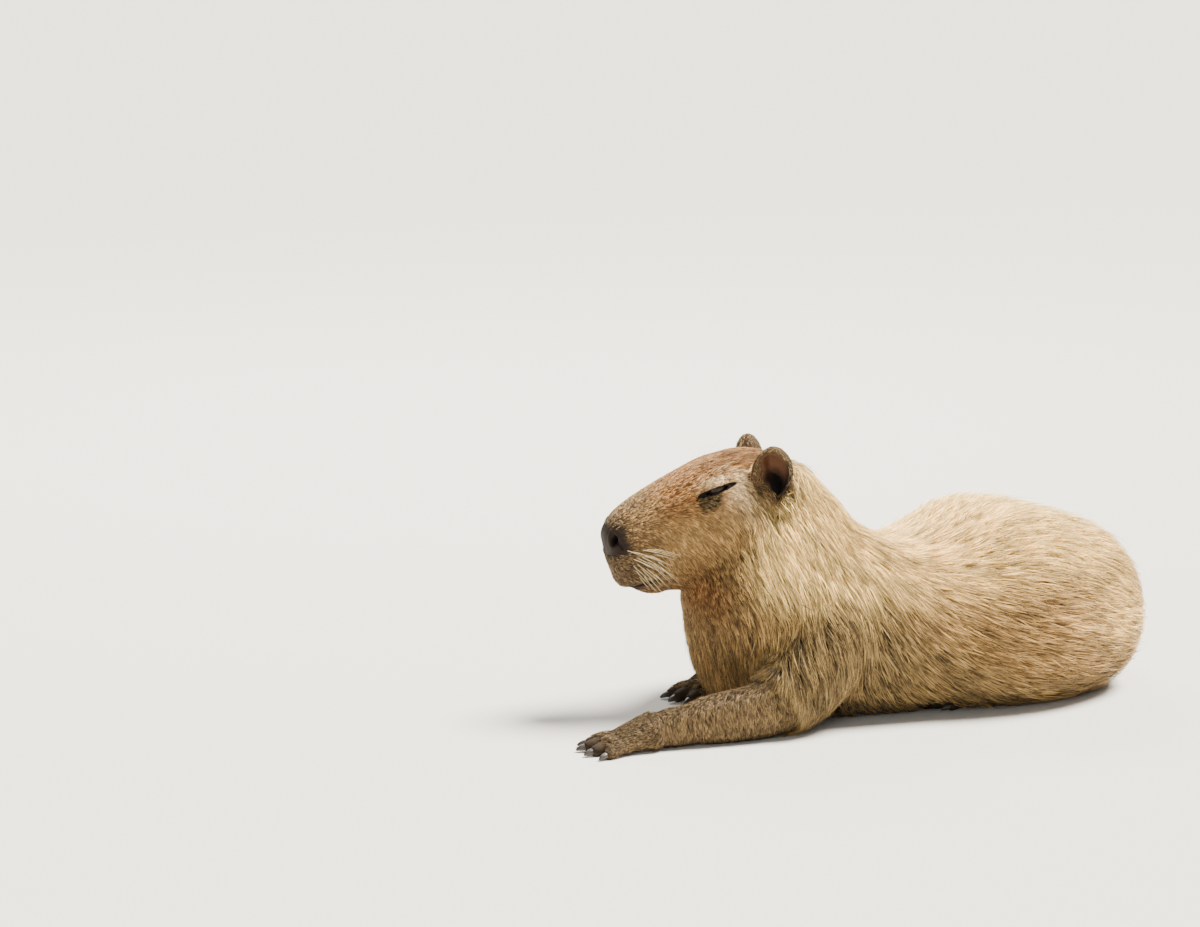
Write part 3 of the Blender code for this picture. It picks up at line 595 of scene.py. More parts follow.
def cup_edge(to_nose, up):
    """Where the bare inside of an ear begins, in shares of its sizes: far in at the furred front flap."""
    return CUP_EDGE - FLAP_WIDTH * step(-0.10, 0.75, 0.80 * to_nose - 0.60 * up)


def ear_centre(side):
    """The middle of one ear's cup."""
    spot = HEAD @ Vector((EAR_PLACE[0], side * EAR_PLACE[1], EAR_PLACE[2]))
    return spot + ear_frame(side)[0] * EAR_LIFTS[side]


def ear_form(side):
    """A rounded cup with a rolled rim, a broad front flap and soft folds inside."""
    length, width, cup = ear_frame(side)
    centre = ear_centre(side)
    half_width, half_length = EAR_HALVES[side]
    rows = curve_through([(*row, 0) for row in EAR_PROFILE], EAR_SPANS)
    angles = 2 * math.pi * np.arange(EAR_SIDES) / EAR_SIDES  # from across the width, then up the length
    forward = -side  # the sign of the width axis that points to the nose
    to_nose, up = np.cos(angles) * forward, np.sin(angles)
    flap = 1 - cup_edge(to_nose, up) / CUP_EDGE
    ridge = bump(to_nose + 0.35 - 0.4 * up, 0.22) - 0.8 * bump(to_nose + 0.02 - 0.3 * up, 0.18)
    ridge += 0.7 * bump(to_nose - 0.42, 0.20)
    rings = []
    for i, (share, height, _) in enumerate(rows):
        inside = step(EAR_RIM_RING, EAR_WALL_RING, i)
        drawn_in = share * (1 - inside * flap)
        folds = FOLD_HEIGHT * inside * ridge * step(-0.1, 0.5, up) * step(0.25, 0.75, share)
        roll = ROLL_HEIGHT * step(0.1, 0.9, to_nose) * step(0.55, 0.95, share)
        swell = FLAP_SWELL * flap * bump(i - 30.0, 5.0)
        across = to_nose * forward * drawn_in * half_width - roll * forward * 0.6
        ring = np.array(centre) + np.outer(across, width) + np.outer(up * drawn_in * half_length, length)
        rings.append(ring + np.outer(height + folds + roll + swell, cup))
    return smooth_shaded(tube("ear", rings))


def ear_places(points, side):
    """Each point towards the nose, up and out of the cup, in shares of the ear's sizes, and the cup's way."""
    length, width, cup = (np.array(v) for v in ear_frame(side))
    half_width, half_length = EAR_HALVES[side]
    away = points - np.array(ear_centre(side))
    to_nose = -side * (away @ width) / half_width
    return to_nose, away @ length / half_length, away @ cup / EAR_DEPTH, cup


def in_cup(points, normals, side):
    """1 on the bare inside of one ear."""
    to_nose, up, height, cup = ear_places(points, side)
    reach = np.hypot(to_nose, up)
    edge = cup_edge(to_nose / np.maximum(reach, 1e-6), up / np.maximum(reach, 1e-6))
    facing = (normals @ cup > -0.35) & (height > -1.15) & (height < 0.75) & (up > -0.86)
    return (1 - step(-0.05, 0.05, reach - edge)) * facing


# ---- eyes
def eye_frame(side):
    """Outward, along the slit, and up across it."""
    outward = (HEAD_TURNED @ Vector((0.22, side, 0.18))).normalized()
    slit = HEAD_TURNED @ Vector((1.0, 0, -0.02))
    slit = (slit - outward * slit.dot(outward)).normalized()
    upward = slit.cross(outward) * side
    return outward, slit, upward


def eye_centre(side):
    """The middle of one eyeball."""
    return HEAD @ Vector((EYE_PLACE[0], side * EYE_PLACE[1], EYE_PLACE[2]))


def eye_places(points, side):
    """Along the slit (forward), up from it, and outward from the middle of the eyeball, in metres."""
    outward, slit, upward = (np.array(v) for v in eye_frame(side))
    away = points - np.array(eye_centre(side))
    return away @ slit, away @ upward + SLIT_DROP, away @ outward, outward


def near_eye(c):
    """Whether points lie about as far out as the lids of this side."""
    return (c > -0.004) & (c < 0.030)


# ---- the hide
ARM_REACH = (0.046, 0.066)  # distance from the forearm's middle line where its share begins and ends to fall


def arm_share(points):
    """1 on the forearms and 0 on the trunk."""
    share = np.zeros(len(points))
    for rows in ARMS.values():
        line = np.array(rows)[3:, :3]
        for start, end in zip(line, line[1:]):
            run = end - start
            place = np.clip((points - start) @ run / (run @ run), 0, 1)
            away = np.linalg.norm(points - start - np.outer(place, run), axis=1)
            share = np.maximum(share, 1 - step(*ARM_REACH, away))
    return np.maximum(share, foot_share(points))


FOOT_TOP = (0.050, 0.060)  # levels between which a foot ends over its palm
TOES_TOP = (0.019, 0.024)  # and past its palm
FOOT_ASIDE = (0.040, 0.046)  # distances beside a foot's middle line where it ends
TOES_END = 0.062  # past the front of the palm
FOOT_THINNED = 0.82  # how much less deep the coat is on the feet


def foot_places(points, start=-0.012, full=0.012):
    """For each foot, how much each point belongs to it, counted between two distances past its ankle, and
    how far the point lies past the front of the palm."""
    low = 1 - step(*FOOT_TOP, points[:, 2])
    very_low = 1 - step(*TOES_TOP, points[:, 2])
    found = []
    for _, ankle, degrees, palm, _, _ in FEET:
        heading = np.array(foot_heading(degrees))
        away = points - np.array(ankle)
        along = away @ heading
        aside = np.linalg.norm(away[:, :2] - np.outer(along, heading[:2]), axis=1)
        within = step(start, full, along) * (1 - step(*FOOT_ASIDE, aside)) * (along < palm + TOES_END)
        found.append((within * np.where(along < palm, low, very_low), along - palm))
    return found


def foot_share(points, *reach):
    """1 on the feet, past the wrists and ankles."""
    return np.max([share for share, _ in foot_places(points, *reach)], axis=0)


def on_head(points):
    """1 on the head and 0 on the neck."""
    f, _, u = in_head(points).T
    return step(-0.030, 0.045, f) * step(-0.150, -0.112, u)


def head_share(points):
    """1 where the fur is short: on the face as far back as the edge of the cheek, and between the ears."""
    f, _, u = in_head(points).T
    cheek_edge = 0.066 + 0.60 * np.maximum(0, -0.012 - u) - 0.078 * step(0.000, 0.038, u)
    return step(-0.034, 0.018, f - cheek_edge) * step(-0.150, -0.112, u)


def coat_depth(points):
    """How far the hide lies under the solids' core."""
    hide = bpy.context.scene.capybara_hide
    depth = hide.body_depth + (hide.head_depth - hide.body_depth) * on_head(points)
    depth = depth + (hide.arm_depth - depth) * arm_share(points)
    return depth * (1 - FOOT_THINNED * foot_share(points, -0.075, -0.020))


# Hills and hollows round an eye: height; place, half width and arch up from the slit; place and half width
# along it.
EYE_HILLS = (
    (0.0034, 0.0205, 0.0085, 8, 0.002, 0.026),  # brow
    (0.0016, -0.0165, 0.0060, 0, 0.000, 0.018),  # bag under the eye
    (-0.0028, -0.0040, 0.0080, 0, 0.027, 0.011),  # inner corner
    (-0.0018, 0.0060, 0.0160, 0, -0.036, 0.016),  # temple
    (-0.0012, 0.0118, 0.0013, 14, 0.000, 0.018),  # fold of the upper lid
    (-0.0009, -0.0112, 0.0014, -14, 0.000, 0.017),  # fold of the lower lid
)
# Hills and hollows on each side of the head: height, then place and half width forward, up and aside.
SIDE_HILLS = (
    (0.0022, 0.062, 0.040, -0.040, 0.035, 0.066, 0.030),  # cheek
    (0.0026, 0.206, 0.022, -0.032, 0.020, 0.048, 0.020),  # whisker pad
    (-0.0016, 0.168, 0.030, 0.020, 0.020, 0.050, 0.020),  # hollow beside the bridge
)
CORNER_DEPTH = 0.0014  # of the furrows past both corners of the eye
NOSTRIL_HALVES = (0.0062, 0.0046)  # up and back
NOSTRIL_DEPTH = 0.0100
NOSTRIL_FOLD_DEPTH = 0.0034
FOREHEAD_DROP = 0.0030
LIP_HEIGHT = 0.0022
CHIN_HEIGHT = 0.0034
MOUTH_DEPTH = 0.0046
CLEFT_DEPTH = 0.0030  # of the furrow that runs up from the mouth's middle


def eye_relief(points, side):
    """How far the hide is raised round one eye."""
    _, s, _ = in_head(points).T
    a, b, c, _ = eye_places(points, side)
    near = bump(a, 0.045) * bump(b, 0.040) * (s * side > 0)
    hills = sum(
        height * bump(b - up + arch * a * a, tall) * bump(a - along, wide)
        for height, up, tall, arch, along, wide in EYE_HILLS
    )
    corners = bump(b, 0.0024) * step(0.016, 0.019, np.abs(a)) * (1 - step(0.023, 0.029, np.abs(a)))
    return hills * (near > 0.02) - CORNER_DEPTH * corners * near_eye(c)


def nostril_relief(points, side):
    """The hollow of one nostril, the wing round it and the fold that runs back from it."""
    back, up, near_wing = wing_places(points, side)
    reach = np.hypot(up / NOSTRIL_HALVES[0], back / NOSTRIL_HALVES[1])
    wing = 0.0011 * bump(reach - 1.75, 0.75)
    wing += 0.0014 * bump(up - 0.011 + 0.2 * back, 0.005) * bump(back - 0.006, 0.010)
    hollow = NOSTRIL_DEPTH * np.exp(-(reach**4)) + NOSTRIL_FOLD_DEPTH * nostril_fold(back, up)
    return near_wing * (wing - hollow)


def head_relief(points):
    """How far the hide of the head is raised, in metres: brows, lids, cheeks, lips, nostrils and folds."""
    f, s, u = in_head(points).T
    rise = np.zeros(len(points))
    for side in SIDES.values():
        for height, forward, deep, up, tall, aside, wide in SIDE_HILLS:
            rise += height * bump(f - forward, deep) * bump(u - up, tall) * bump(s - side * aside, wide)
        rise += eye_relief(points, side) + nostril_relief(points, side)
    forehead = step(0.020, 0.045, u) * bump(f - 0.110, 0.075) * (1 - step(0.016, 0.030, np.abs(s)))
    rise -= FOREHEAD_DROP * forehead
    over = mouth_height(s, u)
    lip = LIP_HEIGHT * bump(over - 0.009, 0.009)
    chin = bump(over + 0.014, 0.011) - step(0.0, 0.006, -over) * step(0.211, 0.234, f)
    rise += step(0.186, 0.200, f) * (lip + CHIN_HEIGHT * chin - MOUTH_DEPTH * bump(over, 0.0016))
    cleft = bump(s, 0.0016) * step(0.228, 0.238, f) * step(0.0, 0.004, over) * (1 - step(-0.006, 0.004, u))
    return rise - CLEFT_DEPTH * cleft


def nostril_fold(back, up):
    """The furrow that curls back and down from a nostril."""
    along = np.clip((back * 0.80 - up * 0.60) / 0.0165, 0, 1)
    aside = np.hypot(back - along * 0.0132, up + along * 0.0099 - 0.0022 * np.sin(along * math.pi))
    return bump(aside, 0.0031 * (1.15 - 0.6 * along)) * (1 - 0.5 * along)


def nostril_places(points, side):
    """Along the nostril's slanting slit, across it, and inward."""
    centre = np.array(HEAD @ Vector((NOSTRIL_PLACE[0], side * NOSTRIL_PLACE[1], NOSTRIL_PLACE[2])))
    inward = (HEAD_TURNED @ Vector((0.55, side * 0.83, 0.10))).normalized()
    slant = HEAD_TURNED @ Vector((-0.25, side * 0.2, 1.0))
    slant = (slant - inward * slant.dot(inward)).normalized()
    away = points - centre
    return away @ np.array(slant), away @ np.array(inward.cross(slant)), away @ np.array(inward)


ALL_AXES = {"use_axis_x": True, "use_axis_y": True, "use_axis_z": True}
FACE_BOTTOM = -0.125  # under the jaw, in the head's frame
CHIN_LEVEL = -0.078
NOSE_START = 0.200
EYE_SURROUND = 0.033  # reach of the finest cells round an eye


def refine_head(body):
    """Finer cells on the head, finest round the eyes, nose and mouth, each time smoothed again."""
    eyes = [np.array(eye_centre(side)) for side in SIDES.values()]

    def on_face(points):
        """Whether points lie on the face."""
        f, _, u = in_head(points).T
        return (f > 0.0) & (u > FACE_BOTTOM)

    def on_features(points):
        """Whether points lie on the nose, on the lips or round an eye."""
        f, _, u = in_head(points).T
        to_eye = np.min([np.linalg.norm(points - eye, axis=1) for eye in eyes], axis=0)
        return ((f > NOSE_START) & (u > CHIN_LEVEL)) | (to_eye < EYE_SURROUND)

    for chosen, rounds in ((on_face, 5), (on_face, 5), (on_features, 4)):
        work = bmesh.new()
        work.from_mesh(body.data)
        flags = chosen(positions(body.data))
        work.verts.ensure_lookup_table()
        edges = [e for e in work.edges if flags[e.verts[0].index] and flags[e.verts[1].index]]
        bmesh.ops.subdivide_edges(work, edges=edges, cuts=1, use_grid_fill=True)
        work.to_mesh(body.data)
        flags = chosen(positions(body.data))
        work.verts.ensure_lookup_table()
        inner = [v for v in work.verts if flags[v.index]]
        for _ in range(rounds):
            bmesh.ops.smooth_vert(work, verts=inner, factor=0.5, **ALL_AXES)
        work.to_mesh(body.data)
        work.free()


LID_LENGTHENED = 0.0042  # how much longer than tall the shell of the lids is, at each corner
LID_JOIN = 0.0025  # softness of the join between the shell and the face
LID_REACH = 0.026  # from the middle of the slit
SHELL_DROP = 0.004  # how deep the shell lies where it has no height of its own


def swell_lids(points):
    """The points near each eye, moved out onto a shell over the eyeball with a soft join."""
    moved = points.copy()
    for side in SIDES.values():
        a, b, c, outward = eye_places(moved, side)
        half_tall = EYE_RADIUS + LID_THICKNESS
        half_long = half_tall + LID_LENGTHENED
        inside = 1 - (a / half_long) ** 2 - ((b - SLIT_DROP) / half_tall) ** 2
        shell = np.sqrt(np.clip(inside, 0, 1)) * half_tall - SHELL_DROP * (inside <= 0)
        top = np.maximum(c, shell)
        both = np.exp((c - top) / LID_JOIN) + np.exp((shell - top) / LID_JOIN)
        raised = top + LID_JOIN * np.log(both) - LID_JOIN * 0.25
        near = (np.hypot(a, b) < LID_REACH) & (c > 0)
        moved += outward * np.where(near, np.maximum(raised - c, 0), 0)[:, None]
    return moved


SOFTENING = 0.6
SOFTEN_ROUNDS = 14
HEAD_SPARED = 0.75  # how much less the head is softened


def softened(body):
    """Rounds the joins between the fused forms, least on the head."""
    group = body.vertex_groups.new(name="soft")
    for index, forward in enumerate(in_head(positions(body.data))[:, 0]):
        on_skull = min(1.0, max(0.0, (forward - 0.02) / 0.06))
        group.add([index], 1.0 - HEAD_SPARED * on_skull, "REPLACE")
    smooth = body.modifiers.new("soften", "SMOOTH")
    smooth.factor = SOFTENING
    smooth.iterations = SOFTEN_ROUNDS
    smooth.vertex_group = group.name
    apply_modifiers(body)
    body.vertex_groups.clear()


def eye_openings():
    """Closed forms that cut each eye's socket and the slit between its lids."""
    cutters = []
    for side in SIDES.values():
        outward, slit, upward = eye_frame(side)
        turn = Matrix((slit, upward, outward)).transposed()
        centre = eye_centre(side)
        cutters.append(ball("socket", centre, (EYE_RADIUS + SOCKET_GAP,) * 3, turn, 48, 32))
        middle = centre + outward * EYE_RADIUS * 1.05 - upward * SLIT_DROP
        cutters.append(ball("slit", middle, SLIT, turn, 64, 40))
    return cutters


def make_hide():
    """The whole skin as one closed surface: body, head, ears and feet."""
    forms = [trunk(), neck(), skull()]
    forms += [arm(side) for side in SIDES]
    forms += [thigh(side) for side in SIDES]
    body = fused(gathered("hide", forms), bpy.context.scene.capybara_hide.cell)
    softened(body)
    points = positions(body.data)
    move_to(body.data, points - vertex_normals(body.data) * coat_depth(points)[:, None])
    refine_head(body)
    points = swell_lids(positions(body.data))
    move_to(body.data, points)
    points = points + vertex_normals(body.data) * head_relief(points)[:, None]
    move_to(body.data, points)
    feet = [foot_form(*place) for _, *place in FEET]
    ears = [ear_form(side) for side in SIDES.values()]
    boolean(body, "UNION", feet + ears)
    boolean(body, "DIFFERENCE", [half_space((0, 0, 0), (0, 0, -1)), *eye_openings()])
    keep_largest(body)
    return smooth_shaded(body)


def keep_largest(obj):
    """Leaves only the largest closed surface."""
    work = bmesh.new()
    work.from_mesh(obj.data)
    work.verts.ensure_lookup_table()
    seen = set()
    islands = []
    for start in work.verts:
        if start.index in seen:
            continue
        island, front = [], [start]
        seen.add(start.index)
        while front:
            vertex = front.pop()
            island.append(vertex)
            for edge in vertex.link_edges:
                other = edge.other_vert(vertex)
                if other.index not in seen:
                    seen.add(other.index)
                    front.append(other)
        islands.append(island)
    largest = max(islands, key=len)
    loose = [vertex for island in islands if island is not largest for vertex in island]
    bmesh.ops.delete(work, geom=loose, context="VERTS")
    work.to_mesh(obj.data)
    work.free()


# ---- what grows where
# Places are given along x and z of the body, or forward, aside and up (f, s, u) in the head's frame.
BODY_RUN = (0.12, 1.25)  # how much the body's hair turns back at the shoulder, and how much more at the rump
JAW_LINE = 0.036  # up to this level in the head's frame the cheek's hair droops


def lie_of_hair(points, normals):
    """Which way the hair lies: back from the nose, down neck, breast and arms, and back along the rump."""
    x, y, _ = points.T
    body = unit(points - NAPE)
    body[:, 0] += BODY_RUN[0] + BODY_RUN[1] * step(-0.16, 0.12, x)
    towards_paw = 0.14 - 0.80 * step(0.35, 0.85, normals[:, 2])
    hanging = np.stack([towards_paw, 0.30 * np.sign(y), np.full(len(x), -1.0)], axis=1)
    body = blend(body, hanging, arm_share(points))
    body = blend(body, np.array((-1.0, 0.0, -0.15)), foot_share(points))
    f, s, u = in_head(points).T
    from_nose = unit(np.stack([f, s, u], axis=1) - NOSE)
    below = JAW_LINE + 0.022 * step(0.09, 0.04, f) - u
    droop = (1.7 + 1.6 * step(0.12, 0.03, f)) * step(0.215, 0.165, f)
    from_nose[:, 2] -= droop * step(0.0, 0.055, below)
    from_nose[:, 0] *= 1 - 0.9 * step(0.11, 0.04, f) * step(0.02, -0.04, u)
    along = blend(body, from_nose @ OUT_OF_HEAD.T, on_head(points))
    for side in SIDES.values():
        along = blend(along, np.array(ear_frame(side)[0]), ear_share(points, side))
    along -= normals * np.sum(along * normals, axis=1, keepdims=True)
    return unit(along)


def ear_share(points, side, root=-0.62):
    """1 on the flap of one ear and 0 on the head round its root."""
    to_nose, up, height, _ = ear_places(points, side)
    within = 1 - step(1.05, 1.25, np.sqrt(to_nose**2 + up**2 + (height * 0.8) ** 2))
    return within * step(root, root + 0.32, up)


def nose_pad(points):
    """1 on the dark, nearly bare front of the nose, fading into the fur behind the nostrils."""
    f, s, u = in_head(points).T
    ragged = 0.0012 * np.sin(u * 900) + 0.0010 * np.sin(s * 1100 + u * 500)
    behind = step(0.2185, 0.2270, f + 0.10 * np.abs(u - 0.008) + ragged)
    return behind * step(-0.014, -0.005, u + ragged) * (1 - step(0.019, 0.031, u + ragged))


def under_eye(a, b):
    """1 on the dark patch under the front of the eye."""
    along, down = (a - 0.0145 + 0.2 * b) / 0.0175, (b + 0.0105) / 0.0108
    return 1 - step(0.85, 1.15, (along**4 + down**4) ** 0.25)


def bare_share(points, normals):
    """1 where the hide shows no hair: nose pad, lids, the cup of each ear and the toes."""
    f, s, u = in_head(points).T
    share = nose_pad(points) * 0.9
    for side in SIDES.values():
        a, b, c, _ = eye_places(points, side)
        share = np.maximum(share, eye_line(a, b) * near_eye(c))
        share = np.maximum(share, in_cup(points, normals, side))
    lips = bump(mouth_height(s, u), 0.0042) * step(0.190, 0.205, f)
    share = np.maximum(share, lips * 0.9)
    for on_foot, past_palm in foot_places(points):
        share = np.maximum(share, step(0.004, 0.034, past_palm) * on_foot * 0.85)
    return share


def mouth_height(s, u):
    """How high a point of the head lies over the line between the lips."""
    return u - MOUTH_LEVEL - 0.010 * np.clip(np.abs(s) / 0.062, 0, 1) ** 3


def wing_places(points, side):
    """Backward and upward from one nostril, and whether the point lies on that side of the nose."""
    up, across, _ = nostril_places(points, side)
    f, s, _ = in_head(points).T
    return -across * side, up, (s * side > 0) & (f > 0.200)


def eye_line(a, b):
    """1 on the dark edge of the lids and on the dark line that runs on past both corners of the eye."""
    return 1 - step(0.88, 1.12, np.hypot(a / 0.0275, b / 0.0045))


def hairless(points, normals):
    """1 where no tuft is rooted and none may come to lie."""
    return step(0.35, 0.7, bare_share(points, normals))


def lid_share(points):
    """1 on and close round the lids, where the hair is shortest."""
    share = np.zeros(len(points))
    for side in SIDES.values():
        a, b, c, _ = eye_places(points, side)
        reach = np.hypot(a / 0.034, (b + 0.004) / 0.024)
        share = np.maximum(share, near_eye(c) * (1 - step(0.55, 1.60, reach)))
    return share


def ear_front(f, u):
    """1 on the darker hair before and below the root of each ear."""
    start, run = np.array((0.041, 0.024)), np.array((-0.015, -0.030))
    away = np.stack([f, u], axis=1) - start
    place = np.clip(away @ run / (run @ run), 0, 1)
    return 1 - step(0.009, 0.017, np.linalg.norm(away - np.outer(place, run), axis=1))


def trunk_marks(points, normals, body):
    """Rows of (tone, share) over the tan of the body, each laid over those before it; the cream rows are
    painted highlight.
    """
    tones = bpy.context.scene.capybara_tones
    x, _, z = points.T
    # painted highlight: cream on the top, where the hide faces up
    lit_saddle = step(0.13, 0.21, z) * step(0.25, 0.85, normals[:, 2])
    # painted highlight: cream on the back edge of the rump, lit from behind
    backlit_rear = step(0.08, 0.20, x) * step(0.05, 0.12, z)
    # painted highlight: cream on the upper side of the neck and the nape
    lit_neck_side = step(0.155, 0.185, z) * (1 - step(-0.20, -0.08, x))
    # partly the coat's darker tone, partly painted shade: brown on the lower flank
    low_edge = 0.062 + 0.130 * (1 - step(-0.20, 0.06, x))
    low = 1 - step(-0.030, 0.020, z - low_edge)
    breast = low * (1 - step(-0.29, -0.23, x))
    return (
        (tones.highlight_cream, 0.95 * body * lit_saddle),
        (tones.highlight_cream, 0.55 * body * backlit_rear),
        (tones.highlight_cream, body * lit_neck_side),
        (tones.brown, body * low * (0.95 - 0.25 * step(-0.02, 0.14, x))),
        (tones.gold, 0.75 * body * breast),
    )


def face_marks(points, head):
    """Rows of (tone, share) over the head, each laid over those before it."""
    tones = bpy.context.scene.capybara_tones
    f, _, u = in_head(points).T
    # partly the jaw's darker tone, partly painted shade: brown on the low side of the head
    jaw = (1 - step(-0.080, -0.030, u)) * (1 - step(0.15, 0.19, f))
    # partly the throat's own rufous brown, partly painted shade under the jaw
    throat_and_shade = bump(f - 0.148, 0.034) * bump(u + 0.090, 0.030)
    crown = step(-0.005, 0.035, u) * (1 - step(0.150, 0.205, f)) * step(-0.01, 0.03, f)
    return (
        (tones.cheek, head * 0.85),
        (tones.brown, head * 0.74 * jaw),
        (tones.throat_and_shade, 0.85 * throat_and_shade),
        (tones.rufous, 0.85 * head * crown),
        (tones.muzzle, 0.75 * head * step(0.150, 0.200, f)),
        (tones.muzzle_front, 0.85 * head * step(0.205, 0.232, f)),
    )


def eye_marks(points, side):
    """Rows of (tone, share) round one eye: the buff band over and behind it and the dark patch under it."""
    tones = bpy.context.scene.capybara_tones
    a, b, c, _ = eye_places(points, side)
    band = bump(b - 0.0110, 0.0065) * bump(a - 0.001, 0.023)
    behind = bump(a + 0.034, 0.025) * bump(b + 0.012, 0.028)
    outer = near_eye(c)
    return (tones.lid, outer * np.maximum(0.95 * band, behind)), (tones.under_eye, outer * under_eye(a, b))


def ear_tones(points, side):
    """The colour of the hair on one ear: paler on its upper rim as painted highlight, darker towards its
    lower back edge.
    """
    tones = bpy.context.scene.capybara_tones
    to_nose, up, _, _ = ear_places(points, side)
    # painted highlight: the upper rim made paler
    rim = step(0.86, 1.0, np.hypot(to_nose, up)) * step(0.2, 0.7, up)
    found = blend(np.tile(np.array(tones.ear), (len(points), 1)), tones.ear_rim_highlight, 0.6 * rim)
    # partly the ear's dark skin tone, partly painted shade on the lower back edge
    return blend(found, tones.bare, 0.9 * step(0.35, 0.80, -to_nose) * (1 - step(0.5, 0.9, up)))


def limb_marks(points):
    """Rows of (tone, share) on forearm, elbow and feet."""
    tones = bpy.context.scene.capybara_tones
    x, y, z = points.T
    # partly darker hair, partly painted shade: brown in the fold of the elbow
    elbow = step(-0.34, -0.27, x) * (1 - step(-0.14, -0.10, x))
    elbow *= (1 - step(0.13, 0.19, z)) * step(0.04, 0.10, np.abs(y))
    return (
        (tones.arm, 0.92 * arm_share(points)),
        (np.array(tones.brown) * 0.7, elbow),
        (tones.foot, foot_share(points, -0.050, 0.020)),
    )


def markings(points, normals):
    """The colour of hide and hair at each place, painted highlight and painted shade included."""
    tones = bpy.context.scene.capybara_tones
    f, s, u = in_head(points).T
    head = head_share(points)
    colour = np.tile(np.array(tones.tan), (len(points), 1))
    for shade, share in (*trunk_marks(points, normals, 1 - head), *face_marks(points, head)):
        colour = blend(colour, shade, share)
    for side in SIDES.values():
        for shade, share in eye_marks(points, side):
            colour = blend(colour, shade, share)
        colour = blend(colour, ear_tones(points, side), ear_share(points, side, -1.15))
    colour = blend(colour, tones.ear, 0.80 * ear_front(f, u) * (np.abs(s) > 0.03))
    for shade, share in limb_marks(points):
        colour = blend(colour, shade, share)
    return bare_colours(points, normals, colour)


def bare_colours(points, normals, colour):
    """The same colours with the dark bare skin of nose, lids, ears and toes laid over them, and black painted
    shade in the hollows.
    """
    tones = bpy.context.scene.capybara_tones
    colour = blend(colour, tones.bare, bare_share(points, normals))
    colour = blend(colour, tones.nose, 0.85 * nose_pad(points))
    black = np.array(tones.bare) * 0.10
    for side in SIDES.values():
        inside = in_cup(points, normals, side)
        to_nose, up, _, _ = ear_places(points, side)
        folded = step(-0.60, 0.10, up + 0.10 * np.sin(to_nose * 9)) * (1 - step(0.45, 0.80, -to_nose))
        colour = blend(colour, tones.ear_fold, 0.90 * inside * folded)
        # painted shade: black in the deep hollow low in the cup
        ear_hollow_shade = (1 - step(-0.45, 0.15, up + 0.20 * np.abs(to_nose - 0.05))) * step(-0.75, -0.45, to_nose)
        colour = blend(colour, black, inside * ear_hollow_shade)
        # painted shade: black in each nostril and along the furrow that curls back from it
        back, high, near_wing = wing_places(points, side)
        nostril_shade = np.exp(-(np.hypot(high / 0.0058, back / 0.0042) ** 4))
        nostril_shade = np.maximum(nostril_shade, 0.80 * nostril_fold(back, high)) * near_wing
        colour = blend(colour, black, nostril_shade)
        # partly the lids' own dark edge, partly painted shade in the slit and the furrows past its corners
        a, b, c, _ = eye_places(points, side)
        colour = blend(colour, black, eye_line(a, b) * near_eye(c))
    f, s, u = in_head(points).T
    # painted shade: a dark line in the crease between the lips
    return blend(colour, black * 2.5, bump(mouth_height(s, u), 0.0018) * step(0.190, 0.205, f))


UNDERSIDE_TOP = 0.05  # below this level hair is thin where the hide faces down
UNDER_THINNED = 0.8
BARE_TOP = 0.0015  # no hair grows on the flats below this level
# Length, width and rise of the shortest tufts, in metres, and their layers.
FOOT_FUR = (0.0080, 0.0008, 0.0018, 1.5)
EAR_FUR = (0.0065, 0.00068, 0.0008, 0.55)
FLAP_FUR = (0.0130, 0.0008, 0.0026, 2.0)
LID_FUR = (0.0060, 0.00090, 0.0009, 2.2)


def on_top(points):
    """1 on the top of the rump, where single hairs stand up."""
    x, _, z = points.T
    return step(-0.01, 0.06, x) * step(0.16, 0.20, z)


def coat_plan(points, normals):
    """Length, width and rise of the tufts at each place, and how many layers of them lie there."""
    coat = bpy.context.scene.capybara_coat
    x, y, z = points.T
    f, s, u = in_head(points).T
    head, arms, feet = head_share(points), arm_share(points), foot_share(points, -0.060, 0.015)
    start = x - 0.30 * np.maximum(y, 0)
    crest = step(-0.040, 0.040, start) * (1 - step(0.04, 0.14, x)) * (1 - step(0.05, 0.12, np.abs(y)))
    crest *= step(0.190, 0.205, z)
    rise = coat.body_rise + coat.crest_rise * crest + 0.0065 * step(0.14, 0.24, x) - 0.0015 * on_top(points)
    body = (coat.body_length * (1 - 0.35 * crest), coat.body_width, rise, coat.body_layers)
    near_nose = step(0.02, 0.20, f)
    face_length = coat.face_length * (1.80 - 1.15 * near_nose) * (1 - 0.35 * step(0.205, 0.235, f))
    face_width = coat.face_width * (1 + 0.25 * step(0.185, 0.215, f))
    face_rise = coat.face_rise * (1.6 - 1.05 * near_nose) * (1 - 0.45 * step(0.030, 0.055, u))
    face = (face_length, face_width, face_rise, coat.face_layers)
    plan = [np.zeros(len(points)) + size for size in body]

    def towards(row, share):
        """Moves each size towards that of a row."""
        for size, wanted in zip(plan, row):
            size += (wanted - size) * share

    towards(face, head)
    towards((coat.arm_length, coat.face_width * 1.2, coat.arm_rise), arms)
    ears = np.maximum(ear_share(points, 1), ear_share(points, -1))
    flap = ear_front(f, u) * (np.abs(s) > 0.03)
    temple = bump(f - 0.050, 0.022) * bump(u - 0.014, 0.026)
    plan[3] *= 1 + 2.6 * head * (1 - head) + 1.2 * temple + 3.2 * arms * (1 - arms)
    for share, row in ((feet, FOOT_FUR), (flap, FLAP_FUR), (ears, EAR_FUR), (lid_share(points), LID_FUR)):
        towards(row, share)
    length, width, rise, layers = plan
    under = step(-0.35, -0.75, normals[:, 2]) * (z < UNDERSIDE_TOP)
    layers = layers * (1 - UNDER_THINNED * under) * (1 - hairless(points, normals))
    return length, width, rise, np.where(z < BARE_TOP, 0, layers)


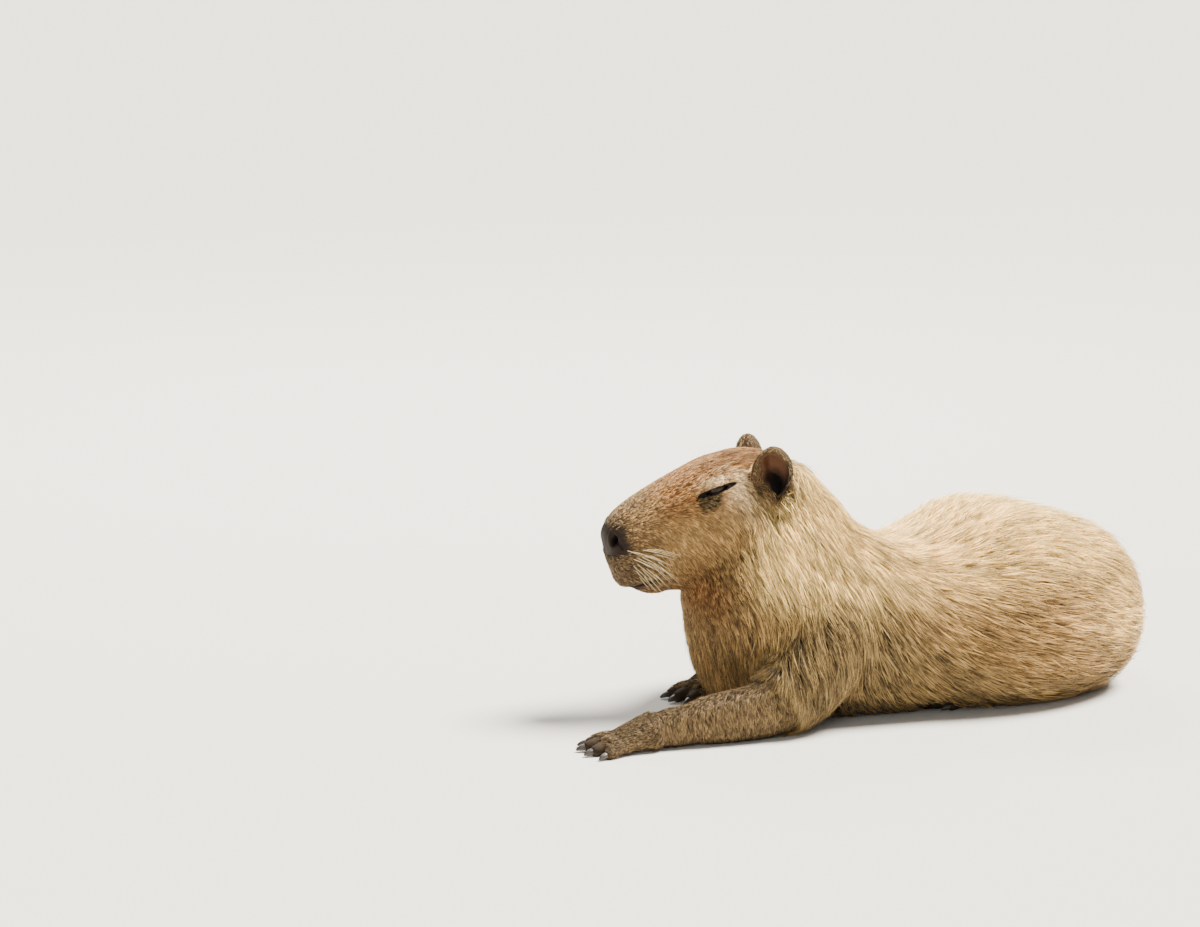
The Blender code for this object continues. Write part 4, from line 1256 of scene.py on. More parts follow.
# ---- the coat
def triangles_of(mesh):
    """The triangles of a mesh, as rows of three vertices."""
    mesh.calc_loop_triangles()
    found = np.empty(len(mesh.loop_triangles) * 3, dtype=np.int32)
    mesh.loop_triangles.foreach_get("vertices", found)
    return found.reshape(-1, 3)


def unwrapped(hide):
    """An unwrap of the hide's own shape: corner points, triangles and the place of each corner in the map."""
    copy = hide.copy()
    copy.data = hide.data.copy()
    bpy.context.scene.collection.objects.link(copy)
    fewer = copy.modifiers.new("fewer", "DECIMATE")
    fewer.ratio = UNWRAP_FACES / len(triangles_of(copy.data))
    fewer.use_collapse_triangulate = True
    apply_modifiers(copy)
    bpy.ops.object.select_all(action="DESELECT")
    bpy.context.view_layer.objects.active = copy
    copy.select_set(True)
    bpy.ops.object.mode_set(mode="EDIT")
    bpy.ops.mesh.select_all(action="SELECT")
    bpy.ops.uv.smart_project(angle_limit=math.radians(70), island_margin=0.002)
    bpy.ops.object.mode_set(mode="OBJECT")
    mesh = copy.data
    corners = positions(mesh)
    loops = np.empty(len(mesh.loops) * 2)
    mesh.uv_layers.active.data.foreach_get("uv", loops)
    faces = triangles_of(mesh)
    order = np.empty(len(mesh.loop_triangles) * 3, dtype=np.int32)
    mesh.loop_triangles.foreach_get("loops", order)
    places = loops.reshape(-1, 2)[order.reshape(-1, 3)]
    drop(copy)
    return corners, faces, places


def places_on(unwrap, points):
    """Where points lie on the unwrap of the hide."""
    corners, faces, places = unwrap
    tree = BVHTree.FromPolygons(corners.tolist(), faces.tolist())
    spots, index = settle(tree, points)
    a, b, c = (corners[faces[index, k]] for k in range(3))
    across, upward, away = b - a, c - a, spots - a
    d00, d01, d11 = (np.sum(p * q, axis=1) for p, q in ((across, across), (across, upward), (upward, upward)))
    d20, d21 = np.sum(away * across, axis=1), np.sum(away * upward, axis=1)
    scale = np.maximum(d00 * d11 - d01 * d01, 1e-16)
    v, w = (d11 * d20 - d01 * d21) / scale, (d00 * d21 - d01 * d20) / scale
    shares = np.clip(np.stack([1 - v - w, v, w], axis=1), 0, 1)
    return np.sum(places[index] * shares[:, :, None], axis=1)


def settle(tree, points):
    """The nearest places on a surface, and the triangles that hold them."""
    spots = np.empty((len(points), 3))
    index = np.empty(len(points), dtype=np.int64)
    for i, point in enumerate(points.tolist()):
        place, _, face, _ = tree.find_nearest(point)
        spots[i] = place
        index[i] = face
    return spots, index


class Ground:
    """The hide as a surface that hair can be followed over."""

    def __init__(self, hide):
        """Reads the hide's points, normals and triangles once."""
        mesh = hide.data
        self.points = positions(mesh)
        self.normals = vertex_normals(mesh)
        self.faces = triangles_of(mesh)
        self.tree = BVHTree.FromPolygons(self.points.tolist(), self.faces.tolist())

    def followed(self, roots, normals, turn, length):
        """The places and normals of each tuft's root, middle and tip along the lie of the hair."""
        spots, facings = [roots], [normals]
        for _ in range(2):
            along = turned_about(lie_of_hair(spots[-1], facings[-1]), facings[-1], turn)
            moved, index = settle(self.tree, spots[-1] + along * (length / 2)[:, None])
            spots.append(moved)
            facings.append(unit(np.mean(self.normals[self.faces[index]], axis=1)))
        return spots, facings

    def scatter(self, chance, long_hair):
        """Roots spread by area and by how dense the coat is, for the long or for the short tufts."""
        corners = self.points[self.faces]
        middle = corners.mean(axis=1)
        normal = np.cross(corners[:, 1] - corners[:, 0], corners[:, 2] - corners[:, 0])
        area = np.linalg.norm(normal, axis=1) / 2
        length, width, _, layers = coat_plan(middle, unit(normal))
        chosen = (length > LONG_FROM) == long_hair
        wanted = area * layers / (0.5 * length * width) * chosen
        count = int(wanted.sum())
        index = chance.choice(len(area), count, p=wanted / wanted.sum())
        a, b = np.sort(chance.random((2, count)), axis=0)
        shares = np.stack([a, b - a, 1 - b], axis=1)
        roots = np.sum(corners[index] * shares[:, :, None], axis=1)
        normals = unit(np.sum(self.normals[self.faces[index]] * shares[:, :, None], axis=1))
        return roots, normals


UNWRAP_FACES = 9000  # of the coarser hide that the map is laid out on
MARKS_BLUR = {"body": 0.0085, "face": 0.0010}  # how far tufts carry the marks over their edges
LONG_FROM = 0.026  # tufts at least this long belong to the coat of the body
TUFT_RINGS = (0.0, 0.50)  # shares of a tuft's length where it has a ring; its tip is a point
RING_WIDTHS = (0.65, 1.0)
BRISTLING = 0.013  # how much higher the steepest hairs stand on the rump
TUFT_BACK = 0.62  # how far a tuft's back edge stands out, as a share of its half width
ROOT_SUNK = 0.0012  # how deep a root sits in the hide
STRAYS = 0.04  # share of the hairs that leave their clump
CLUMP_TURN = 4.0  # degrees by which clumps lie off the flow
TUFT_TURN = 4.5  # degrees by which the tufts of a clump differ
LENGTHS = (0.72, 1.18)  # shares of the planned sizes between which tufts vary
RISES = (0.55, 1.15)
WIDTHS = (0.8, 1.25)
PULLS = (0.05, 0.62)  # how far a tip is drawn to the middle of its clump
OFBAKE_PATCH = 0.003  # side of one tuft's patch of the map


def turned_about(vectors, axes, angles):
    """Unit vectors turned about axes that stand square to them."""
    c, s = np.cos(angles)[:, None], np.sin(angles)[:, None]
    return vectors * c + np.cross(axes, vectors) * s


def grown(ground, roots, normals, chance, clump_size):
    """Follows each tuft over the hide: its root, middle and tip, the normals there, and its traits."""
    count = len(roots)
    length, width, rise, _ = coat_plan(roots, normals)
    centres = chance.choice(count, max(2, count // clump_size), replace=False)
    tree = KDTree(len(centres))
    for i, centre in enumerate(centres):
        tree.insert(roots[centre].tolist(), i)
    tree.balance()
    clump = np.array([tree.find(root)[1] for root in roots.tolist()])
    clump_tone = chance.random(len(centres))[clump]
    clump_turn = np.radians(chance.normal(0, CLUMP_TURN, len(centres)))[clump]
    stray = chance.random(count) < STRAYS
    turn = clump_turn + np.radians(chance.normal(0, TUFT_TURN, count)) * np.where(stray, 2.5, 1.0)
    length = length * chance.uniform(*LENGTHS, count) * np.where(stray, 1.15, 1.0)
    rise = rise * chance.uniform(*RISES, count) * np.where(stray, 1.25, 1.0)
    rise += BRISTLING * on_top(roots) * chance.random(count) ** 3
    spots, facings = ground.followed(roots, normals, turn, length)
    blocked = np.maximum(hairless(spots[1], facings[1]), hairless(spots[2], facings[2])) > 0.5
    length, rise = length * np.where(blocked, 0.40, 1.0), rise * np.where(blocked, 0.6, 1.0)
    spots, facings = ground.followed(roots, normals, turn, length)
    return {
        "spots": spots, "facings": facings, "rise": rise, "width": width * chance.uniform(*WIDTHS, count),
        "clump": centres[clump], "tone": clump_tone, "chance": chance.random(count),
        "pull": chance.uniform(*PULLS, count) * ~stray,
    }


def lies_clear(hair):
    """Which tufts have neither their middle nor their tip on bare skin."""
    clear = np.ones(len(hair["rise"]), bool)
    for spots, facings in zip(hair["spots"][1:], hair["facings"][1:]):
        clear &= hairless(spots, facings) < 0.5
    return np.flatnonzero(clear)


def path_at(hair, t):
    """Points and normals of all tufts at a share of their length."""
    shares = (2 * (t - 0.5) * (t - 1), -4 * t * (t - 1), 2 * t * (t - 0.5))
    ground = sum(spot * share for spot, share in zip(hair["spots"], shares))
    facing = unit(sum(normal * share for normal, share in zip(hair["facings"], shares)))
    lifted = math.sin(0.5 * math.pi * min(1.0, t * 1.05)) ** 0.85
    height = hair["rise"] * lifted - (ROOT_SUNK if t == 0 else 0.0)
    points = ground + facing * height[:, None]
    gathered_to = points[hair["clump"]]
    pull = (hair["pull"] * t**1.6)[:, None]
    return points + (gathered_to - points) * pull, facing


def tuft_mesh(name, hair, chosen, colours, uv):
    """Tapered three-sided spikes along the chosen tufts' paths, as one mesh."""
    count = len(chosen)
    paths = [path_at(hair, t) for t in (*TUFT_RINGS, 1.0)]
    points = [(p[chosen], n[chosen]) for p, n in paths]
    per = 3 * len(TUFT_RINGS) + 1
    verts = np.empty((count, per, 3))
    along = np.empty((count, per))
    width = hair["width"][chosen]
    for i, t in enumerate(TUFT_RINGS):
        centre, facing = points[i]
        aside = unit(np.cross(facing, points[i + 1][0] - centre))
        half = (width * RING_WIDTHS[i] / 2)[:, None]
        verts[:, 3 * i] = centre + aside * half
        verts[:, 3 * i + 1] = centre + facing * half * TUFT_BACK
        verts[:, 3 * i + 2] = centre - aside * half
        along[:, 3 * i : 3 * i + 3] = t
    verts[:, -1] = points[-1][0]
    along[:, -1] = 1.0
    verts[:, :, 2] = np.maximum(verts[:, :, 2], FLOOR_GAP)
    faces, patch = tuft_pattern()
    index = (np.arange(count)[:, None, None] * per + faces).reshape(-1)
    mesh = bpy.data.meshes.new(name)
    total = len(index) // 3
    mesh.vertices.add(count * per)
    mesh.vertices.foreach_set("co", verts.astype(np.float32).ravel())
    mesh.loops.add(len(index))
    mesh.loops.foreach_set("vertex_index", index.astype(np.int32))
    mesh.polygons.add(total)
    mesh.polygons.foreach_set("loop_start", np.arange(0, 3 * total, 3, dtype=np.int32))
    mesh.update(calc_edges=True)
    mesh.validate()
    layer = mesh.uv_layers.new(name="OFBake")
    places = uv[chosen][:, None, None] + patch
    layer.data.foreach_set("uv", places.astype(np.float32).ravel())
    attribute(mesh, "marks", "FLOAT_COLOR", np.repeat(np.c_[colours[chosen], np.ones(count)], per, axis=0))
    attribute(mesh, "along", "FLOAT", along)
    attribute(mesh, "chance", "FLOAT", np.repeat(hair["chance"][chosen], per))
    attribute(mesh, "clump", "FLOAT", np.repeat(hair["tone"][chosen], per))
    mesh.shade_smooth()
    return linked(name, mesh)


def tuft_pattern():
    """The triangles of one tuft, and the place of each corner in its patch of the map."""
    faces, patch = [(0, 2, 1)], [((0.0, -0.5), (0.66, -0.5), (0.33, -0.5))]
    stops = [*TUFT_RINGS, 1.0]
    for i in range(len(TUFT_RINGS) - 1):
        low, high = stops[i] - 0.5, stops[i + 1] - 0.5
        for k in range(3):
            a, b = 3 * i + k, 3 * i + (k + 1) % 3
            left, right = k / 3, (k + 1) / 3
            faces += [(a, b, b + 3), (a, b + 3, a + 3)]
            patch += [((left, low), (right, low), (right, high)), ((left, low), (right, high), (left, high))]
    last, low = 3 * (len(TUFT_RINGS) - 1), stops[-2] - 0.5
    for k in range(3):
        faces.append((last + k, last + (k + 1) % 3, last + 3))
        patch.append(((k / 3, low), ((k + 1) / 3, low), ((k + 0.5) / 3, 0.5)))
    patch = (np.array(patch) - np.array((0.5, 0.0))) * OFBAKE_PATCH
    return np.array(faces), patch


def grow_coat(kind, slot, finish, seed, limit, clump_size):
    """All tufts of one kind, in pieces that run from the nose to the rump."""
    hide = bpy.data.objects["hide"]
    ground = Ground(hide)
    chance = np.random.default_rng(seed)
    roots, normals = ground.scatter(chance, kind == "body")
    if len(roots) > limit:
        drawn = chance.permutation(len(roots))[:limit]
        roots, normals = roots[drawn], normals[drawn]
    hair = grown(ground, roots, normals, chance, clump_size)
    uv = places_on(unwrapped(hide), roots)
    colours = markings(roots + chance.normal(0, MARKS_BLUR[kind], roots.shape), normals)
    kept = lies_clear(hair)
    order = kept[np.argsort(roots[kept, 0])]
    per_tuft = 6 * (len(TUFT_RINGS) - 1) + 4
    most = bpy.context.scene.capybara_coat.piece_triangles // per_tuft
    for number, chosen in enumerate(np.array_split(order, math.ceil(len(order) / most)), 1):
        finish_piece(tuft_mesh(f"coat_{kind}_{number}", hair, chosen, colours, uv), slot, finish)


# ---- materials
# Sockets of a Map Range node, and the numbers of a Mix node's sockets, whose names repeat.
RANGE = ("From Min", "From Max", "To Min", "To Max")
FACTOR, VALUE_A, VALUE_B, COLOUR_A, COLOUR_B = 0, 2, 3, 6, 7
MIXED_VALUE, MIXED_COLOUR = 0, 2


def add_node(tree, kind, settings=None, values=None, links=None):
    """Adds a node, sets its properties and its sockets' values, and links inputs to (node, output) pairs."""
    node = tree.nodes.new(kind)
    for name, value in (settings or {}).items():
        setattr(node, name, value)
    for name, value in dict(values or {}).items():
        node.inputs[name].default_value = value
    for name, (source, output) in (links or {}).items():
        tree.links.new(source.outputs[output], node.inputs[name])
    return node


def rgba(shade, factor=1.0):
    """A colour times a factor, with full alpha."""
    return (*(value * factor for value in shade), 1.0)


def new_finish(name):
    """An empty material and its tree of nodes."""
    made = bpy.data.materials.new(name)
    made.use_nodes = True
    made.node_tree.nodes.clear()
    return made, made.node_tree


def surface(tree, values, links):
    """Ends a material in one shader."""
    shader = add_node(tree, "ShaderNodeBsdfPrincipled", {}, values, links)
    add_node(tree, "ShaderNodeOutputMaterial", links={"Surface": (shader, "BSDF")})


def guard_hair(name, root_shade, tip_share, spread):
    """Coarse keratin hair, grown: dark at its root, pale at its tip, each bristle a little different."""
    made, tree = new_finish(name)
    tones = bpy.context.scene.capybara_tones
    marks, along, chance, clump = (
        add_node(tree, "ShaderNodeAttribute", {"attribute_name": key})
        for key in ("marks", "along", "chance", "clump")
    )
    ranges = (
        (along, 0.0, 0.62, root_shade, 1.08),  # the root lies in the shade of the coat
        (chance, 0.0, 1.0, 1 - 0.60 * spread, 1 + 0.50 * spread),  # each tuft's own tone
        (clump, 0.0, 1.0, 1 - 0.44 * spread, 1 + 0.36 * spread),  # each lock's own tone
        # the pale tip is partly the hair's own paler end, partly painted highlight on tips that stand in the
        # light
        (along, 0.30, 1.0, 0.0, tip_share),  # the pale tip
        (chance, 0.0, 1.0, 0.25, 1.75),  # how pale it is
    )
    root, each, lock, fade, some = (
        add_node(tree, "ShaderNodeMapRange", {}, zip(RANGE, ends), {"Value": (source, "Fac")})
        for source, *ends in ranges
    )
    times = {"operation": "MULTIPLY"}
    two = add_node(tree, "ShaderNodeMath", times, {}, {0: (root, 0), 1: (each, 0)})
    value = add_node(tree, "ShaderNodeMath", times, {}, {0: (two, 0), 1: (lock, 0)})
    pale = add_node(tree, "ShaderNodeMath", times, {}, {0: (fade, 0), 1: (some, 0)})
    links = {FACTOR: (pale, 0), COLOUR_A: (marks, "Color")}
    tip = add_node(tree, "ShaderNodeMix", {"data_type": "RGBA"}, {COLOUR_B: rgba(tones.tip)}, links)
    links = {"Value": (value, 0), "Color": (tip, MIXED_COLOUR)}
    colour = add_node(tree, "ShaderNodeHueSaturation", {}, {}, links)
    values = {"Roughness": 0.55, "IOR": 1.55, "Specular IOR Level": 0.22}
    surface(tree, values, {"Base Color": (colour, "Color")})
    return made


COMBED = np.array((0.2, 1, 1))  # how much shorter streaks are measured along the lie of the hair
STREAKS_PER_METRE = 850.0  # hairs lie about 1.2 mm apart across their lie
WRINKLES_PER_METRE = 620.0  # cells of about 1.6 mm
RELIEF_DEPTH = 0.0007


def furred_hide():
    """Living hide, grown: short close fur that shows as fine streaks, and dark, finely wrinkled bare skin."""
    made, tree = new_finish("furred_hide")
    marks, bare, combed = (
        add_node(tree, "ShaderNodeAttribute", {"attribute_name": key}) for key in ("marks", "bare", "combed")
    )
    place = add_node(tree, "ShaderNodeTexCoord")
    # the combed place is in metres, shortened along the lie of the hair
    values = {"Scale": STREAKS_PER_METRE, "Detail": 3.0, "Roughness": 0.6}
    streaks = add_node(tree, "ShaderNodeTexNoise", {}, values, {"Vector": (combed, "Vector")})
    values = {"Scale": WRINKLES_PER_METRE}
    links = {"Vector": (place, "Object")}
    wrinkles = add_node(tree, "ShaderNodeTexVoronoi", {"feature": "SMOOTH_F1"}, values, links)
    # partly the streaks of the short fur, partly painted shade between the hairs: the furred hide is
    # darkened, the bare skin hardly
    ends = zip(RANGE, (0.3, 0.7, 0.42, 1.0))
    shade = add_node(tree, "ShaderNodeMapRange", {}, ends, {"Value": (streaks, "Fac")})
    links = {FACTOR: (bare, "Fac"), VALUE_A: (shade, 0)}
    value = add_node(tree, "ShaderNodeMix", {"data_type": "FLOAT"}, {VALUE_B: 0.95}, links)
    links = {"Value": (value, MIXED_VALUE), "Color": (marks, "Color")}
    colour = add_node(tree, "ShaderNodeHueSaturation", {}, {}, links)
    links = {FACTOR: (bare, "Fac"), VALUE_A: (streaks, "Fac"), VALUE_B: (wrinkles, "Distance")}
    height = add_node(tree, "ShaderNodeMix", {"data_type": "FLOAT"}, {}, links)
    values = {"Strength": 0.5, "Distance": RELIEF_DEPTH}
    relief = add_node(tree, "ShaderNodeBump", {}, values, {"Height": (height, MIXED_VALUE)})
    ends = zip(RANGE, (0.0, 1.0, 0.78, 0.72))
    rough = add_node(tree, "ShaderNodeMapRange", {}, ends, {"Value": (bare, "Fac")})
    links = {"Base Color": (colour, "Color"), "Roughness": (rough, 0), "Normal": (relief, "Normal")}
    surface(tree, {"IOR": 1.45, "Specular IOR Level": 0.16}, links)
    return made


PUPIL_EDGE = (0.30, 0.40)  # as a share of the way from the middle of the pupil to the white
IRIS_EDGE = (0.72, 0.90)


def wet_eyeball():
    """A wet, dark brown eye: tear film over cornea, faint iris threads, black pupil."""
    made, tree = new_finish("wet_eyeball")
    tones = bpy.context.scene.capybara_tones
    off_pupil = add_node(tree, "ShaderNodeAttribute", {"attribute_name": "off_pupil"})
    threads = add_node(tree, "ShaderNodeAttribute", {"attribute_name": "iris_turn"})
    values = {"Scale": 34.0, "Detail": 2.0}
    wave = add_node(tree, "ShaderNodeTexNoise", {"noise_dimensions": "1D"}, values, {"W": (threads, "Fac")})
    mix = {"data_type": "RGBA"}
    values = {COLOUR_A: rgba(tones.iris), COLOUR_B: rgba(tones.iris, 2.2)}
    colour = add_node(tree, "ShaderNodeMix", mix, values, {FACTOR: (wave, "Fac")})
    ring, edge = (
        add_node(
            tree, "ShaderNodeMapRange", {"interpolation_type": "SMOOTHSTEP"}, zip(RANGE, (*reach, 0.0, 1.0)),
            {"Value": (off_pupil, "Fac")},
        )
        for reach in (PUPIL_EDGE, IRIS_EDGE)
    )
    links = {FACTOR: (ring, 0), COLOUR_B: (colour, MIXED_COLOUR)}
    dark = add_node(tree, "ShaderNodeMix", mix, {COLOUR_A: rgba(tones.pupil)}, links)
    links = {FACTOR: (edge, 0), COLOUR_A: (dark, MIXED_COLOUR)}
    whole = add_node(tree, "ShaderNodeMix", mix, {COLOUR_B: rgba(tones.eye_edge)}, links)
    values = {
        "Roughness": 0.35, "IOR": 1.38, "Specular IOR Level": 0.05,
        "Coat Weight": 0.55, "Coat Roughness": 0.03, "Coat IOR": 1.34,  # the tear film
    }
    surface(tree, values, {"Base Color": (whole, MIXED_COLOUR)})
    return made


def worn_horn():
    """Keratin nail, worn on the ground: dark, faintly ribbed along its length."""
    made, tree = new_finish("worn_horn")
    tones = bpy.context.scene.capybara_tones
    place = add_node(tree, "ShaderNodeTexCoord")
    values = {"Scale": (0.2, 1.0, 1.0)}
    stretch = add_node(tree, "ShaderNodeMapping", {}, values, {"Vector": (place, "Object")})
    values = {"Scale": 900.0, "Detail": 3.0}  # ribs about 1.1 mm apart
    ribs = add_node(tree, "ShaderNodeTexNoise", {}, values, {"Vector": (stretch, 0)})
    values = {COLOUR_A: rgba(tones.nail), COLOUR_B: rgba(tones.nail, 2.4)}
    colour = add_node(tree, "ShaderNodeMix", {"data_type": "RGBA"}, values, {FACTOR: (ribs, "Fac")})
    values = {"Strength": 0.35, "Distance": 0.0003}
    relief = add_node(tree, "ShaderNodeBump", {}, values, {"Height": (ribs, "Fac")})
    links = {"Base Color": (colour, MIXED_COLOUR), "Normal": (relief, "Normal")}
    surface(tree, {"Roughness": 0.42, "IOR": 1.55}, links)
    return made


def whisker_bristle():
    """Stiff, pale, translucent bristle, a little glossy."""
    made, tree = new_finish("whisker_bristle")
    tones = bpy.context.scene.capybara_tones
    along = add_node(tree, "ShaderNodeAttribute", {"attribute_name": "along"})
    values = {COLOUR_A: rgba(tones.whisker), COLOUR_B: rgba(tones.whisker, 0.8)}
    colour = add_node(tree, "ShaderNodeMix", {"data_type": "RGBA"}, values, {FACTOR: (along, "Fac")})
    surface(tree, {"Roughness": 0.38, "IOR": 1.55}, {"Base Color": (colour, MIXED_COLOUR)})
    return made


def pale_floor():
    """Matte studio paper, uncoated."""
    made, tree = new_finish("matte_studio_paper")
    colour = rgba(bpy.context.scene.capybara_stage.floor_colour)
    surface(tree, {"Base Color": colour, "Roughness": 0.85, "IOR": 1.45}, {})
    return made


# ---- eyes, nails and whiskers
GAZE = (0.18, -0.20)  # how far the eye looks along its slit and up
CORNEA_SWELL = 0.0007
CORNEA_REACH = 34.0  # degrees from the middle of the pupil
WHITE_FROM = 40.0  # degrees from the middle of the pupil to the white


def make_eye(word, finish):
    """One eyeball with its cornea, looking a little forward and down."""
    low, high = (Vector(corner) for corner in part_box(f"eye_{word}"))
    centre = (low + high) / 2
    outward, slit, upward = eye_frame(SIDES[word])
    gaze = (outward + slit * GAZE[0] + upward * GAZE[1]).normalized()
    turn = gaze.to_track_quat("Z", "Y").to_matrix()
    made = ball(f"eyeball_{word}", centre, (EYE_RADIUS,) * 3, turn, 64, 48)
    points = positions(made.data)
    away = points - np.array(centre)
    off = np.degrees(np.arccos(np.clip(away @ np.array(gaze) / EYE_RADIUS, -1, 1)))
    swell = CORNEA_SWELL * (1 - step(0.0, CORNEA_REACH, off))
    move_to(made.data, points + unit(away) * swell[:, None])
    across, along = away @ np.array(turn.col[0]), away @ np.array(turn.col[1])
    attribute(made.data, "off_pupil", "FLOAT", off / WHITE_FROM)
    attribute(made.data, "iris_turn", "FLOAT", np.abs(np.arctan2(across, along)))
    return finish_piece(smooth_shaded(made), "eyeball", finish, f"eye_{word}")


def make_nails(finish):
    """The nails of each foot, as one piece for a foot."""
    for name, ankle, degrees, palm, half_width, toes in FEET:
        _, digits = foot_parts(Vector(ankle), foot_heading(degrees), palm, half_width, toes)
        nails = gathered(f"nails_{name}", [nail(tip, heading, radius) for _, tip, heading, radius in digits])
        smooth_shaded(nails)
        nodes = [f"claw_{name}_{k}" for k in range(1, len(toes) + 1)]
        finish_piece(nails, "claw", finish, *nodes)


WHISKER_GIRTH = 0.0011  # nearly twice the real one at its root, so that it shows


BROW_GIRTH = 0.0006
WHISKER_ROWS = 5
WHISKER_COLUMNS = 6
BROW_BRISTLES = 4
BRISTLE_SPANS = 9
BRISTLE_LEAN = 0.55  # how far a bristle stands up from the lip
BRISTLE_SUNK = 0.001
BRISTLE_SCATTER = 0.0014  # of the roots about their rows
BRISTLE_POINT = 0.00006  # half width of the very tip
CORNERS = (0.0, 2.094, 4.189)  # of a bristle's cut, a third of a turn apart
DROOP = Vector((-0.62, 0, -0.66))  # which way the lip's bristles curve, in the head's frame


def bristle(root, direction, length, girth):
    """The rings of a tapered hair that curves back and down."""
    rings, at = [], root.copy()
    droop = HEAD_TURNED @ DROOP
    for k in range(BRISTLE_SPANS + 1):
        t = k / BRISTLE_SPANS
        along = (direction + droop * t * 0.9).normalized()
        aside = along.orthogonal().normalized()
        other = along.cross(aside)
        half = girth / 2 * (1 - t) ** 0.8 + BRISTLE_POINT
        rings.append([at + (aside * math.cos(a) + other * math.sin(a)) * half for a in CORNERS])
        at = at + along * length / BRISTLE_SPANS
    return rings


def make_whiskers(finish):
    """Rows of stiff bristles on the upper lip, with a few over each eye."""
    ground = Ground(bpy.data.objects["hide"])
    chance = np.random.default_rng(11)
    longest = bpy.context.scene.capybara_coat.whisker_length
    points, faces, along = [], [], []

    def plant(place, out, length, girth):
        """Adds one bristle whose root is near a place of the head's frame."""
        spot, normal, _, _ = ground.tree.find_nearest(HEAD @ Vector(place))
        direction = (HEAD_TURNED @ Vector(out)).normalized()
        direction = (direction + normal * BRISTLE_LEAN).normalized()
        rings = bristle(spot - normal * BRISTLE_SUNK, direction, length, girth)
        base = len(points)
        for i, ring in enumerate(rings):
            points.extend(ring)
            along.extend([i / BRISTLE_SPANS] * 3)
        faces.append((base, base + 2, base + 1))
        for i in range(BRISTLE_SPANS):
            for k in range(3):
                a, b = base + 3 * i + k, base + 3 * i + (k + 1) % 3
                faces.append((a, b, b + 3, a + 3))
        faces.append(tuple(base + 3 * BRISTLE_SPANS + k for k in range(3)))

    for side in SIDES.values():
        for row in range(WHISKER_ROWS):
            for column in range(WHISKER_COLUMNS):
                f = 0.229 - 0.0070 * column - 0.0010 * row + chance.normal(0, BRISTLE_SCATTER)
                u = -0.006 - 0.0095 * row - 0.001 * column + chance.normal(0, BRISTLE_SCATTER)
                fan = row / (WHISKER_ROWS - 1) + chance.normal(0, 0.10)
                out = (-0.92 + 0.55 * fan, side * 0.30, -0.34 - 0.72 * fan)
                length = longest * chance.uniform(0.50, 0.95) * (1 - 0.30 * fan)
                plant((f, side * 0.052, u), out, length, WHISKER_GIRTH)
        for k in range(BROW_BRISTLES):
            place = (0.098 - 0.009 * k, side * 0.045, 0.060 + chance.normal(0, 0.001))
            plant(place, (-0.6, side * 0.5, 0.35), longest * 0.6, BROW_GIRTH)
    made = smooth_shaded(new_object("whiskers", points, faces))
    attribute(made.data, "along", "FLOAT", along)
    return finish_piece(made, "face_fur", finish)


# ---- the stage
LIGHTS_MEET = (-0.08, 0.0, 0.15)  # the place that every lamp is turned to
KEY_PLACE = (1.5, -0.2, 2.8)
KEY_COLOUR = (1.0, 0.955, 0.87)
FILL_PLACE = (-2.0, -3.0, 1.6)
FILL_SIZE = (2.6, 1.8)
FILL_COLOUR = (1.0, 0.98, 0.95)
RIM_PLACE = (0.2, 2.4, 2.2)
RIM_SIZE = (2.0, 1.0)
RIM_COLOUR = (1.0, 0.97, 0.92)
ROOM_COLOUR = (0.86, 0.90, 0.96, 1.0)
ROOM_STRENGTH = 0.27


def make_floor():
    """A plain square floor that isn't part of the animal."""
    work = bmesh.new()
    size = bpy.context.scene.capybara_stage.floor_size
    bmesh.ops.create_grid(work, x_segments=1, y_segments=1, size=size / 2)
    floor = linked("floor", mesh_from(work, "floor"))
    floor.data.materials.append(pale_floor())


def hung(lamp, place, colour):
    """Hangs a lamp at a place and turns it to where the lights meet."""
    lamp.color = colour
    made = linked(lamp.name, lamp)
    made.location = place
    made.rotation_euler = (Vector(LIGHTS_MEET) - Vector(place)).to_track_quat("-Z", "Y").to_euler()


def area_light(name, place, size, power, colour):
    """A soft rectangular lamp."""
    lamp = bpy.data.lights.new(name, "AREA")
    lamp.shape = "RECTANGLE"
    lamp.size, lamp.size_y = size
    lamp.energy = power
    hung(lamp, place, colour)


def broad_light(name, place, width, strength, colour):
    """A far, broad, soft light that falls evenly on animal and floor."""
    lamp = bpy.data.lights.new(name, "SUN")
    lamp.angle = width
    lamp.energy = strength
    hung(lamp, place, colour)


def fill_room():
    """An even, pale light from all round."""
    world = bpy.data.worlds.new("soft_room")
    world.use_nodes = True
    background = world.node_tree.nodes["Background"]
    background.inputs["Color"].default_value = ROOM_COLOUR
    background.inputs["Strength"].default_value = ROOM_STRENGTH
    bpy.context.scene.world = world


FRAME_PIXELS = (1200, 927)
ANCHOR = Vector((-0.30, 0, 0))  # on the floor under the breast
ANCHOR_PIXEL = (722, 712)  # where it shows in the frame, from the top left
SENSOR_WIDTH = 36.0  # millimetres
CLIP_END = 50.0


